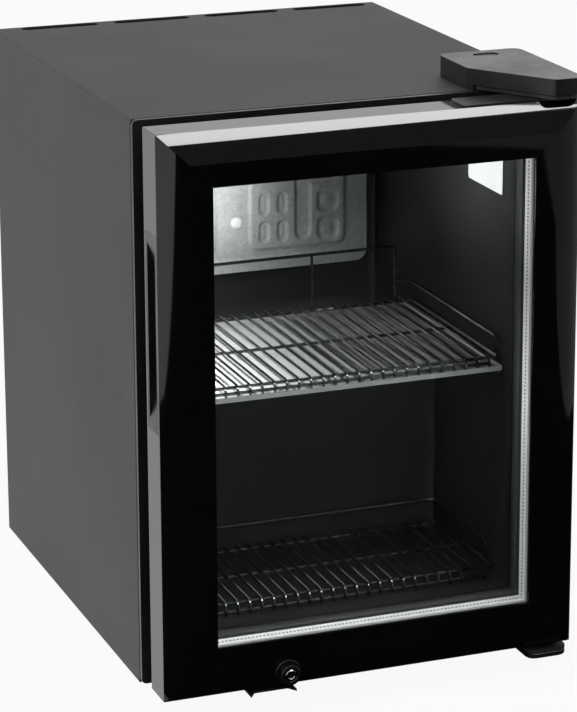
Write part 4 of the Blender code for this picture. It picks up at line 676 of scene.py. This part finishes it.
def rounded_plate(width, height, thick, corner):
    """A flat plate with round corners, its back on the plane z = 0."""
    bm = bmesh.new()
    points = []
    for centre_x, centre_y, start in (
        (width / 2 - corner, height / 2 - corner, 0.0),
        (corner - width / 2, height / 2 - corner, 90.0),
        (corner - width / 2, corner - height / 2, 180.0),
        (width / 2 - corner, corner - height / 2, 270.0),
    ):
        for step in range(5):
            turn = math.radians(start + 22.5 * step)
            points.append((centre_x + corner * math.cos(turn), centre_y + corner * math.sin(turn), 0.0))
    base = bm.faces.new([bm.verts.new(point) for point in points])
    grown = bmesh.ops.extrude_face_region(bm, geom=[base])["geom"]
    top = [item for item in grown if isinstance(item, bmesh.types.BMVert)]
    bmesh.ops.translate(bm, verts=top, vec=(0.0, 0.0, thick))
    bmesh.ops.recalc_face_normals(bm, faces=bm.faces)
    return mesh_from(bm, "plate")


def depth_inside(x, z, low, high, corner):
    """How far a point lies inside a rounded rectangle; below nought outside it."""
    away_x = abs(x - (low[0] + high[0]) / 2) - (high[0] - low[0]) / 2 + corner
    away_z = abs(z - (low[1] + high[1]) / 2) - (high[1] - low[1]) / 2 + corner
    outside = math.hypot(max(away_x, 0.0), max(away_z, 0.0))
    return corner - outside - min(max(away_x, away_z), 0.0)


def ease(share):
    """A soft step from nought to one."""
    held = min(1.0, max(0.0, share))
    return held * held * (3.0 - 2.0 * held)


def evaporator_islands(inner_x, outer_x, low_z, high_z):
    """Corners, corner radius and inner rim of the flat islands inside one half's raised channel."""
    press = settings().evaporator
    web = press.island_web
    half_slot = press.slot_width / 2
    slot_x = inner_x + press.slot_x
    square_x = inner_x + press.square_x
    islands = []
    for row in range(2):
        z = low_z + web + press.oval_height / 2 + row * press.island_pitch
        for x in (inner_x + press.oval_x, inner_x + press.oval_x + press.oval_step):
            half = Vector((press.oval_width / 2, press.oval_height / 2))
            islands.append(((x - half.x, z - half.y), (x + half.x, z + half.y), half.x, OVAL_RIM))
        half = Vector((press.square_width / 2, press.square_height / 2))
        low = (square_x - half.x, z - half.y - SQUARE_DROP)
        high = (square_x + half.x, z + half.y - SQUARE_DROP)
        islands.append((low, high, SQUARE_CORNER, SQUARE_RIM))
    band_z = high[1] + web
    band_top = band_z + press.slot_width
    islands.append(((slot_x - half_slot, low_z + web), (slot_x + half_slot, band_top), half_slot, None))
    islands.append(((slot_x - half_slot, band_z), (outer_x - web, band_top), half_slot, None))
    return islands


def press_height(x, z, rect, islands):
    """Height of the pressed channel at one point, as a share of its full height."""
    press = settings().evaporator
    depth = depth_inside(x, z, *rect)
    share = 0.0
    for low, high, corner, rim in islands:
        inside = depth_inside(x, z, low, high, corner)
        depth = min(depth, -inside)
        if rim is not None and inside > rim:
            share = max(share, ISLAND_CROWN * ease((inside - rim) / press.slope))
    return max(share, ease(depth / press.slope))


def pressed_sheet():
    """The roll-bonded plate as one sheet: channels, islands, folded lower edge and a slit in its flap."""
    press = settings().evaporator
    low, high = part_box("evaporator_plate")
    fold_z = low.z + press.fold
    low = low + Vector((0.0, 0.0, press.trim))
    back = high.y
    front = back - press.sheet
    rise = front - low.y
    margin = press.from_fold
    rect_low = (press.from_middle, fold_z + margin)
    rect_high = (high.x - press.from_side, high.z - margin)
    islands = evaporator_islands(rect_low[0], rect_high[0], rect_low[1], rect_high[1])
    rect = (rect_low, rect_high, press.corner)
    columns = round((high.x - low.x) / press.grid)
    rows = round((high.z - low.z) / press.grid)
    round_off = press.plate_corner
    outline = ((low.x, low.z), (high.x, high.z), round_off)
    points = {}
    for row in range(rows + 1):
        z = low.z + (high.z - low.z) * row / rows
        for column in range(columns + 1):
            x = low.x + (high.x - low.x) * column / columns
            short = -depth_inside(x, z, *outline)
            place = Vector((x, 0.0, z))
            if short > 0.0:
                centre = Vector((math.copysign(high.x - round_off, x), 0.0, 0.0))
                centre.z = low.z + round_off if z < (low.z + high.z) / 2 else high.z - round_off
                place = centre + (place - centre).normalized() * round_off
            bead = ease(1.0 - abs(z - fold_z) / (FOLD_SPREAD * press.slope))
            share = max(press_height(abs(x), z, rect, islands), FOLD_RISE * bead)
            place.y = front - rise * share
            points[row, column] = place
    kept = set()
    for row in range(rows):
        for column in range(columns):
            middle = (points[row, column] + points[row + 1, column + 1]) / 2
            beside = abs(abs(middle.x) - press.slit_x) >= press.slit_width / 2
            if beside or middle.z >= fold_z - press.slope:
                kept.add((row, column))
    bm = bmesh.new()
    build_sheet(bm, points, kept, back)
    return mesh_from(bm, "pressed_evaporator")


def build_sheet(bm, points, kept, back):
    """Front faces of the kept cells, walls round them and a back."""
    front = {}
    for row, column in kept:
        corners = [(row, column), (row, column + 1), (row + 1, column + 1), (row + 1, column)]
        for corner in corners:
            if corner not in front:
                front[corner] = bm.verts.new(points[corner])
        face = bm.faces.new([front[corner] for corner in corners])
        face.smooth = True
        face.normal_update()
    sides = (
        ((0, 0), (0, 1), (-1, 0)),
        ((0, 1), (1, 1), (0, 1)),
        ((1, 1), (1, 0), (1, 0)),
        ((1, 0), (0, 0), (0, -1)),
    )
    for row, column in kept:
        for start, end, away in sides:
            if (row + away[0], column + away[1]) in kept:
                continue
            first = points[row + start[0], column + start[1]]
            last = points[row + end[0], column + end[1]]
            wall = [last, first, Vector((first.x, back, first.z)), Vector((last.x, back, last.z))]
            bm.faces.new([bm.verts.new(place) for place in wall])
    rows = max(row for row, column in kept) + 1
    columns = max(column for row, column in kept) + 1
    corners = []
    loop = [(0, column) for column in range(columns)]
    loop += [(row, columns) for row in range(rows)]
    loop += [(rows, column) for column in range(columns, 0, -1)]
    loop += [(row, 0) for row in range(rows, 0, -1)]
    for corner in reversed(loop):
        place = points[corner]
        corners.append(bm.verts.new((place.x, back, place.z)))
    bm.faces.new(corners)


def rim_arc(radius, top, corner):
    """Profile points of a rounded rim, from its face to its side."""
    points = []
    for step in range(5):
        turn = math.pi / 2.0 * step / 4
        points.append((radius - corner + corner * math.sin(turn), top - corner + corner * math.cos(turn)))
    return points


def condenser_path(half, y, low_z):
    """The tube's runs from the top right down to the drier, with a half-round bend after each."""
    machine = settings().machine
    bend = machine.pitch / 2
    path = []
    last = CONDENSER_RUNS - 1
    for run in range(CONDENSER_RUNS):
        z = low_z + machine.pitch * (last - run)
        toward = -1 if run % 2 == 0 else 1
        path.append((-toward * half, y, z))
        if run == last:
            break
        for step in range(16):
            turn = math.pi / 2 - math.pi * step / 16
            path.append((toward * (half + bend * math.cos(turn)), y, z - bend + bend * math.sin(turn)))
    end_x = -half - machine.drier_side
    drop = machine.overrun / 2
    for step in range(7):
        turn = math.pi / 2 * step / 6
        path.append((end_x + drop - drop * math.sin(turn), y, low_z - drop + drop * math.cos(turn)))
    path.append((end_x, y, low_z - machine.overrun))
    return path


class FRIDGE_OT_finishes(bpy.types.Operator):
    """Make the shared node groups and all finishes"""

    bl_idname = "fridge.finishes"
    bl_label = "Make Finishes"

    def execute(self, context):
        make_finishes()
        return {"FINISHED"}


class FRIDGE_OT_cabinet(bpy.types.Operator):
    """Dress the outer shell, the base, the liner, the hinges and the feet"""

    bl_idname = "fridge.cabinet"
    bl_label = "Dress Cabinet"

    def execute(self, context):
        dress(["outer_shell"], "cabinet_coat")
        dress(["base_pan", "back_plate"], "zinc_sheet")
        dress(["insulation"], "foam_block")
        dress(["inner_liner"], "liner_satin")
        dress(["front_frame"], "plastic_satin")
        dress(["upper_hinge_cover", "lower_hinge_cover"], "plastic_satin", bevel=0.0008)
        dress(["upper_hinge_plate", "lower_hinge_bracket", "lock_keeper"], "machine_paint")
        dress(FEET, "rubber_matt", bevel=0.0006)
        return {"FINISHED"}


class FRIDGE_OT_door(bpy.types.Operator):
    """Dress the door's profile, glass, gasket, handle and the lock's cam"""

    bl_idname = "fridge.door"
    bl_label = "Dress Door"

    def execute(self, context):
        dress(RAILS, "frame_gloss", angle=24.0)
        dress(["glazing_bead", "door_gasket"], "rubber_matt")
        dress(["glass_front", "glass_rear"], "door_glass")
        dress(["glass_spacer"], "spacer_strip")
        dress(["door_inner_frame", "handle_insert", "hinge_cap_top", "hinge_cap_bottom"], "plastic_satin")
        dress(["lock_cam"], "machine_paint")
        return {"FINISHED"}


class FRIDGE_OT_inside(bpy.types.Operator):
    """Dress the shelves, the tray and its runners"""

    bl_idname = "fridge.inside"
    bl_label = "Dress Inside"

    def execute(self, context):
        dress(WIRES, "chrome_wire_dark_reflection", angle=50.0)
        dress(["shelf_tray"], "tray_gloss")
        dress(["shelf_runner_left", "shelf_runner_right"], "liner_satin", bevel=0.0005)
        return {"FINISHED"}


class FRIDGE_OT_evaporator(bpy.types.Operator):
    """Press the evaporator's channels into a sheet with soft edges"""

    bl_idname = "fridge.evaporator"
    bl_label = "Press Evaporator"

    def execute(self, context):
        mesh = pressed_sheet()
        sheet = finish_piece(mesh, "pressed_evaporator", "cabinet", "evaporator_metal")
        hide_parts("evaporator_plate")
        return {"FINISHED"}


class FRIDGE_OT_machine(bpy.types.Operator):
    """Dress the compressor, the pipes, the channels and the plastic parts at the back"""

    bl_idname = "fridge.machine"
    bl_label = "Dress Machine Space"

    def execute(self, context):
        dress(["compressor", "compressor_plate"], "machine_paint", angle=40.0)
        dress(MOUNTS + ("cord_gland",), "rubber_matt")
        dress(["terminal_cover", "evaporation_dish", "thermostat_body"], "plastic_satin", bevel=0.0006)
        dress(["drain_pipe", "thermostat_knob"], "plastic_satin")
        dress(["condenser_channel_left", "condenser_channel_right"], "bracket_zinc")
        dress(PIPES, "copper_pipe", angle=50.0)
        return {"FINISHED"}


class FRIDGE_OT_sticker(bpy.types.Operator):
    """Add the blank white sticker on the right inner wall"""

    bl_idname = "fridge.sticker"
    bl_label = "Add Sticker"

    def execute(self, context):
        fitting = settings().fitting
        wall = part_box("shelf_runner_right")[1].x
        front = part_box("outer_shell")[0].y
        mesh = rounded_plate(fitting.sticker_length, fitting.sticker_height, TOUCH, STICKER_CORNER)
        finish_piece(mesh, "wall_sticker", "cabinet", "sticker_paper")
        place = (wall, front + STICKER_FROM_FRONT, STICKER_Z)
        turn = Matrix(((0, 0, -1), (1, 0, 0), (0, 1, 0))).to_4x4()
        mesh.transform(Matrix.Translation(place) @ turn)
        mesh.update()
        return {"FINISHED"}


class FRIDGE_OT_back_screws(bpy.types.Operator):
    """Add the screws of the back plate"""

    bl_idname = "fridge.back_screws"
    bl_label = "Add Back Screws"

    def execute(self, context):
        fitting = settings().fitting
        head = cross_screw(fitting.screw_head, fitting.screw_height)
        low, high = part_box("back_plate")
        places = []
        from_side = 0.010
        from_top = 0.008
        from_middle = 0.06
        side_turn = 7.0
        top_turn = 9.0
        for x in (low.x + from_side, high.x - from_side):
            for share in (0.45, 0.63, 0.80, 0.965):
                z = low.z + (high.z - low.z) * share
                places.append(((x, high.y, z), (0, 1, 0), side_turn * z))
        for x in (-from_middle, from_middle):
            places.append(((x, high.y, high.z - from_top), (0, 1, 0), top_turn * x))
        finish_piece(copies(head, places), "back_plate_screws", "cabinet", "zinc_sheet")
        return {"FINISHED"}


class FRIDGE_OT_evaporator_screws(bpy.types.Operator):
    """Add the two bright screws that hold the evaporator"""

    bl_idname = "fridge.evaporator_screws"
    bl_label = "Add Evaporator Screws"

    def execute(self, context):
        names = ("evaporator_screw_lower", "evaporator_screw_upper")
        sheet = settings().evaporator.sheet
        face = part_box("evaporator_plate")[1].y - sheet - TOUCH
        low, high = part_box(names[0])
        head = cross_screw(EVAPORATOR_SCREW_HEAD, face - low.y, high.y - face)
        places = []
        for turn, name in enumerate(names):
            low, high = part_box(name)
            place = ((low.x + high.x) / 2, face, (low.z + high.z) / 2)
            places.append((place, (0, -1, 0), 0.6 + turn))
        mesh = copies(head, places)
        screws = finish_piece(mesh, "evaporator_screws", "cabinet", "screw_zinc")
        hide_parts(*names)
        return {"FINISHED"}


class FRIDGE_OT_lock(bpy.types.Operator):
    """Turn the lock's barrel with round rims, and its plug with a keyway"""

    bl_idname = "fridge.lock"
    bl_label = "Add Lock"

    def execute(self, context):
        low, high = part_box("lock_barrel")
        front = ((low.x + high.x) / 2, low.y, (low.z + high.z) / 2)
        length = high.y - low.y
        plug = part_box("lock_plug")
        core = (plug[1].x - plug[0].x) / 2
        bore = core + 0.0003
        rim = 0.0090
        rim_back = -0.0030
        neck = 0.0080
        collar = 0.0115
        collar_face = -0.0070
        collar_back = low.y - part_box("door_rail_bottom")[0].y + TOUCH
        mouth = (bore, -0.0006)
        barrel = [mouth, (bore + 0.0005, 0.0)]
        barrel += rim_arc(rim, 0.0, 0.0009)
        barrel += [(rim, -0.0027), (0.0086, rim_back), (neck, rim_back), (neck, collar_face)]
        barrel += rim_arc(collar, collar_face, 0.0008)
        barrel += [(collar, collar_back), (neck, collar_back), (neck, -length), (bore, -length), mouth]
        mesh = copies(turned_mesh(barrel, steps=48), [(front, (0, -1, 0), 0.0)])
        ring = finish_piece(mesh, "lock_ring", "door", "lock_black")
        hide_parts("lock_barrel")
        back = plug[0].y - plug[1].y
        dip = -0.0005
        chamfer = 0.0004
        profile = [(0.0, dip), (0.0026, dip), (0.0031, 0.0), (core - chamfer, 0.0), (core, -chamfer)]
        profile += [(core, back), (0.0, back)]
        keyway_size = (0.0012, 0.006, 0.008)
        keyway = (keyway_size, 0.0, (0.0, 0.0, 0.0))
        mesh = copies(carved(turned_mesh(profile, steps=40), [keyway]), [(front, (0, -1, 0), 0.0)])
        turning = finish_piece(mesh, "lock_core", "lock", "chrome_lock")
        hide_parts("lock_plug")
        return {"FINISHED"}


class FRIDGE_OT_condenser(bpy.types.Operator):
    """Bend the condenser's tube, and add its wires and straps"""

    bl_idname = "fridge.condenser"
    bl_label = "Add Condenser"

    def execute(self, context):
        machine = settings().machine
        low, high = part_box("condenser")
        bend = machine.pitch / 2
        half = high.x - bend - machine.tube
        tube_y = low.y + machine.tube
        run_z = low.z + machine.overrun
        bm = bmesh.new()
        tube_rings(bm, condenser_path(half, tube_y, run_z), machine.tube, steps=14)
        wire_y = high.y - machine.wire
        for index in range(CONDENSER_WIRES):
            x = half * (2.0 * (index + 1) / (CONDENSER_WIRES + 1) - 1.0)
            tube_rings(bm, [(x, wire_y, low.z), (x, wire_y, high.z)], machine.wire, steps=8)
        mesh = mesh_from(bm, "bent_condenser")
        tube = finish_piece(mesh, "bent_condenser", "cabinet", "machine_paint")
        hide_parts("condenser")
        strap = strap_mesh(machine.tube, STRAP_SHEET, STRAP_FOOT, machine.strap_width)
        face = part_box("condenser_channel_left")[1].y
        places = []
        for run in range(0, CONDENSER_RUNS, 2):
            for sign in (-1, 1):
                place = (sign * (half - machine.channel_inset), face, run_z + run * machine.pitch)
                places.append((place, (0, 1, 0), 0.0))
        finish_piece(copies(strap, places), "condenser_straps", "cabinet", "bracket_zinc")
        return {"FINISHED"}


class FRIDGE_OT_machine_fittings(bpy.types.Operator):
    """Add the mounts' nuts and washers, and the brazed joints of the pipes"""

    bl_idname = "fridge.machine_fittings"
    bl_label = "Add Machine Fittings"

    def execute(self, context):
        radius = settings().machine.nut
        wide = radius * 1.4
        washer_top = 0.0012
        nut_top = 0.0055
        stud_top = 0.0085
        washer = [(0.0, washer_top), (radius * 1.3, washer_top), (wide, 0.0009), (wide, 0.0), (0.0, 0.0)]
        sides = [(0.0, nut_top), (radius * 0.82, nut_top), (radius, 0.0048)]
        sides += [(radius, washer_top), (0.0, washer_top)]
        stud = [(0.0, stud_top), (0.0022, stud_top), (0.0028, 0.0079), (0.0028, nut_top), (0.0, nut_top)]
        nut = joined([turned_mesh(washer), turned_mesh(sides, steps=6), turned_mesh(stud, steps=16)])
        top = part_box("compressor_plate")[1].z
        places = []
        for turn, name in enumerate(MOUNTS):
            low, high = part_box(name)
            places.append((((low.x + high.x) / 2, (low.y + high.y) / 2, top), (0, 0, 1), 0.3 * turn))
        finish_piece(copies(nut, places), "mount_nuts", "cabinet", "screw_zinc")
        bead_half = 0.0045
        bead = [(0.0, bead_half)]
        for step in range(9):
            turn = math.pi * step / 8
            bead.append((0.0032 + 0.0012 * math.sin(turn), bead_half * math.cos(turn)))
        bead.append((0.0, -bead_half))
        inset = 0.0047
        pipe = 0.003
        low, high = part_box("discharge_pipe")
        ends = [((low.x + inset, low.y + pipe, low.z + pipe), (1, 0, 0), 0.0)]
        low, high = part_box("suction_pipe")
        ends.append(((high.x - inset, low.y + pipe, low.z + pipe), (1, 0, 0), 0.0))
        low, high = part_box("filter_drier")
        middle = ((low.x + high.x) / 2, (low.y + high.y) / 2)
        for z in (low.z + inset, high.z - inset):
            ends.append(((*middle, z), (0, 0, 1), 0.0))
        finish_piece(copies(turned_mesh(bead), ends), "brazed_joints", "cabinet", "braze_metal")
        return {"FINISHED"}


class FRIDGE_OT_dial(bpy.types.Operator):
    """Add the thermostat's ticks and its knob's pointer line"""

    bl_idname = "fridge.dial"
    bl_label = "Add Dial"

    def execute(self, context):
        low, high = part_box("thermostat_knob")
        middle = Vector(((low.x + high.x) / 2, 0.0, (low.z + high.z) / 2))
        tick = rounded_plate(width=0.0022, height=0.0007, thick=TOUCH, corner=0.0003)
        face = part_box("thermostat_body")[1].y
        places = []
        ring = 0.0183
        for start in (-44, 136):
            for step in range(5):
                turn = math.radians(start + 22 * step)
                place = middle + Vector((ring * math.cos(turn), face, ring * math.sin(turn)))
                places.append((place, (0, 1, 0), -turn))
        finish_piece(copies(tick, places), "dial_ticks", "cabinet", "sticker_paper")
        line = rounded_plate(width=0.0012, height=0.0105, thick=TOUCH, corner=0.0005)
        dip = 0.0012
        from_middle = 0.0057
        place = middle + Vector((0.0, high.y - dip, from_middle))
        mesh = copies(line, [(place, (0, 1, 0), 0.0)])
        finish_piece(mesh, "dial_pointer", "thermostat", "sticker_paper")
        return {"FINISHED"}


class FRIDGE_OT_studio(bpy.types.Operator):
    """Make the floor, the sky, the cards, the lights and the camera"""

    bl_idname = "fridge.studio"
    bl_label = "Make Studio"

    def execute(self, context):
        studio = settings().studio
        make_floor(studio.floor)
        make_sky(studio.sky_light)
        make_cards()
        light_outside(studio)
        light_inside(studio)
        make_camera()
        return {"FINISHED"}


def make_cards():
    """Cards on the floor in front and at the right, and one behind the camera, for the gloss to show."""
    edge = [(1.57, FAR_CARD_Y), (1.06, -1.97), (0.845, -1.03), (0.86, -0.3), (0.88, 0.1)]
    under = [(-0.185, 0.1), (-0.185, -0.245), (-0.96, -0.245), (-0.96, FAR_CARD_Y), *edge]
    right = [(5.0, FAR_CARD_Y), (5.0, 3.0), (0.88, 3.0), *reversed(edge)]
    far = [(-0.6, 0.0), (3.8, 0.0), (3.8, 5.5), (-0.6, 5.5)]
    make_card("front_card", [(x, y, CARD_LIFT) for x, y in under], 0.002)
    make_card("right_card", [(x, y, CARD_LIFT) for x, y in right], 0.5)
    make_card("far_card", [(x, FAR_CARD_Y, z) for x, z in far], 0.35)


def light_outside(studio):
    """The softbox that gloss shows, and the fill at the left."""
    place = (0.56, -1.06, 1.98)
    strip = add_lamp("strip_lamp", place, (0.0, -0.23, 0.50), (0.75, 0.62), studio.strip_power)
    strip.visible_diffuse = False
    place = (-2.3, 0.25, 1.0)
    add_lamp("left_lamp", place, (0.0, 0.0, 0.27), (1.6, 1.6), studio.left_power, mirrored=False)


def light_inside(studio):
    """Small lamps above and under the tray, at the evaporator and towards the right wall."""
    low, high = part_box("shelf_tray")
    x = low.x + TRAY_LAMP_INSET
    y = (low.y + high.y) / 2
    place = (x, y, high.z + TRAY_LAMP_RISE)
    add_lamp("tray_lamp", place, (x, y, low.z), (0.02, 0.26), studio.tray_power, mirrored=False)
    place = (0.0, 0.0, low.z - LOWER_LAMP_GAP)
    add_lamp("lower_lamp", place, (0.0, 0.0, 0.0), (0.26, 0.22), studio.lower_power)
    low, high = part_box("evaporator_plate")
    z = (low.z + high.z) / 2
    place = (PLATE_LAMP_X, low.y - PLATE_LAMP_GAP, z)
    target = (PLATE_LAMP_X, high.y, z)
    add_lamp("plate_lamp", place, target, (0.03, 0.09), studio.plate_power, mirrored=False)
    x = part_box("shelf_runner_right")[1].x
    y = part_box("outer_shell")[0].y + WALL_LAMP_FROM_FRONT
    place = (-0.12, y, 0.455)
    target = (x, y, STICKER_Z)
    wall = add_lamp("wall_lamp", place, target, (0.02, 0.05), studio.wall_power, mirrored=False)
    wall.data.spread = math.radians(WALL_LAMP_SPREAD)


def path_light(tree):
    """One where a camera, mirror or glass ray looks, and nought for the light that falls on things."""
    path = tree.nodes.new("ShaderNodeLightPath")
    total = path.outputs["Is Camera Ray"]
    for label in ("Is Glossy Ray", "Is Transmission Ray"):
        total = arithmetic(tree, "ADD", total, path.outputs[label])
        total.node.use_clamp = True
    return total


def make_floor(colour):
    """Pale floor that shows nearly white and keeps the shadow."""
    bm = bmesh.new()
    bmesh.ops.create_grid(bm, x_segments=8, y_segments=8, size=9.0)
    floor = put("studio_floor", mesh_from(bm, "studio_floor"))
    material, tree, shader = new_material("studio_floor")
    shader.inputs["Base Color"].default_value = (*colour, 1.0)
    shader.inputs["Roughness"].default_value = 0.9
    shader.inputs["Specular IOR Level"].default_value = 0.1
    glow = tree.nodes.new("ShaderNodeEmission")
    share = arithmetic(tree, "MULTIPLY", path_light(tree), FLOOR_GLOW)
    show_mixed(tree, share, shader, glow)
    floor.data.materials.append(material)


def make_sky(level):
    """White surroundings to look at, and a lower even light."""
    world = bpy.data.worlds.new("studio_sky")
    bpy.context.scene.world = world
    world.use_nodes = True
    tree = world.node_tree
    strength = spread(tree, path_light(tree), 0.0, 1.0, level, 1.0)
    tree.links.new(strength, tree.nodes["Background"].inputs["Strength"])
    tree.nodes["Background"].inputs["Color"].default_value = (1.0, 1.0, 1.0, 1.0)


def make_card(name, corners, tone):
    """Card that shows only in reflections."""
    bm = bmesh.new()
    bm.faces.new([bm.verts.new(corner) for corner in corners])
    card = put(name, mesh_from(bm, name))
    material, tree, shader = new_material(name)
    shader.inputs["Base Color"].default_value = (tone, tone, tone, 1.0)
    shader.inputs["Roughness"].default_value = 1.0
    shader.inputs["Specular IOR Level"].default_value = 0.0
    path = tree.nodes.new("ShaderNodeLightPath")
    mirrored = arithmetic(tree, "MINIMUM", path.outputs["Glossy Depth"], 1.0)
    clear = tree.nodes.new("ShaderNodeBsdfTransparent")
    show_mixed(tree, mirrored, clear, shader)
    card.data.materials.append(material)
    card.visible_camera = False
    card.visible_diffuse = False
    card.visible_shadow = False


def add_lamp(name, place, target, size, power, mirrored=True):
    """A soft rectangular lamp that points at its target."""
    data = bpy.data.lights.new(name, "AREA")
    data.shape = "RECTANGLE"
    data.size, data.size_y = size
    data.energy = power
    lamp = put(name, data)
    lamp.location = place
    lamp.rotation_mode = "QUATERNION"
    lamp.rotation_quaternion = (Vector(target) - Vector(place)).to_track_quat("-Z", "Y")
    lamp.visible_camera = False
    lamp.visible_glossy = mirrored
    return lamp


def make_camera():
    """Camera at the photograph's viewing angle."""
    data = bpy.data.cameras.new("photo_camera")
    long_side = max(PHOTO_SIZE)
    data.sensor_width = SENSOR
    data.lens = FOCAL_PIXELS / long_side * SENSOR
    data.shift_x = (PHOTO_SIZE[0] / 2 - OPTICAL_CENTRE[0]) / long_side
    data.shift_y = (OPTICAL_CENTRE[1] - PHOTO_SIZE[1] / 2) / long_side
    camera = put("photo_camera", data)
    turn = math.radians(CAMERA_AZIMUTH)
    rise = math.radians(CAMERA_ELEVATION)
    back = Vector((math.sin(turn) * math.cos(rise), -math.cos(turn) * math.cos(rise), math.sin(rise)))
    camera.location = CAMERA_PLACE
    camera.rotation_mode = "QUATERNION"
    roll = Quaternion((0.0, 0.0, 1.0), math.radians(CAMERA_ROLL))
    camera.rotation_quaternion = (-back).to_track_quat("-Z", "Y") @ roll
    bpy.context.scene.camera = camera


class FRIDGE_PT_looks(bpy.types.Panel):
    """Sidebar list of the refrigerator's steps and settings"""

    bl_idname = "FRIDGE_PT_looks"
    bl_label = "Bar Fridge"
    bl_space_type = "VIEW_3D"
    bl_region_type = "UI"
    bl_category = "Bar Fridge"

    def draw(self, context):
        for step in STEPS:
            self.layout.operator(step.bl_idname)
        parts = settings()
        for group in (parts.finish, parts.fitting, parts.evaporator, parts.machine, parts.studio):
            box = self.layout.box()
            for label in group.__annotations__:
                box.prop(group, label)


GROUPS = (
    FinishSettings,
    FittingSettings,
    EvaporatorSettings,
    MachineSettings,
    StudioSettings,
    FridgeSettings,
)
STEPS = (
    FRIDGE_OT_studio,
    FRIDGE_OT_finishes,
    FRIDGE_OT_cabinet,
    FRIDGE_OT_door,
    FRIDGE_OT_inside,
    FRIDGE_OT_evaporator,
    FRIDGE_OT_machine,
    FRIDGE_OT_sticker,
    FRIDGE_OT_back_screws,
    FRIDGE_OT_evaporator_screws,
    FRIDGE_OT_lock,
    FRIDGE_OT_condenser,
    FRIDGE_OT_machine_fittings,
    FRIDGE_OT_dial,
)


def register():
    for item in (*GROUPS, *STEPS, FRIDGE_PT_looks):
        bpy.utils.register_class(item)
    bpy.types.Scene.bar_fridge = PointerProperty(type=FridgeSettings)


def unregister():
    del bpy.types.Scene.bar_fridge
    for item in (FRIDGE_PT_looks, *reversed(STEPS), *reversed(GROUPS)):
        bpy.utils.unregister_class(item)


def main():
    register()
    bpy.context.scene.view_settings.view_transform = "Standard"
    bpy.ops.fridge.studio()
    bpy.ops.fridge.finishes()
    bpy.ops.fridge.cabinet()
    bpy.ops.fridge.door()
    bpy.ops.fridge.inside()
    bpy.ops.fridge.evaporator()
    bpy.ops.fridge.machine()
    bpy.ops.fridge.sticker()
    bpy.ops.fridge.back_screws()
    bpy.ops.fridge.evaporator_screws()
    bpy.ops.fridge.lock()
    bpy.ops.fridge.condenser()
    bpy.ops.fridge.machine_fittings()
    bpy.ops.fridge.dial()
    bpy.context.view_layer.update()


if __name__ == "__main__":
    main()
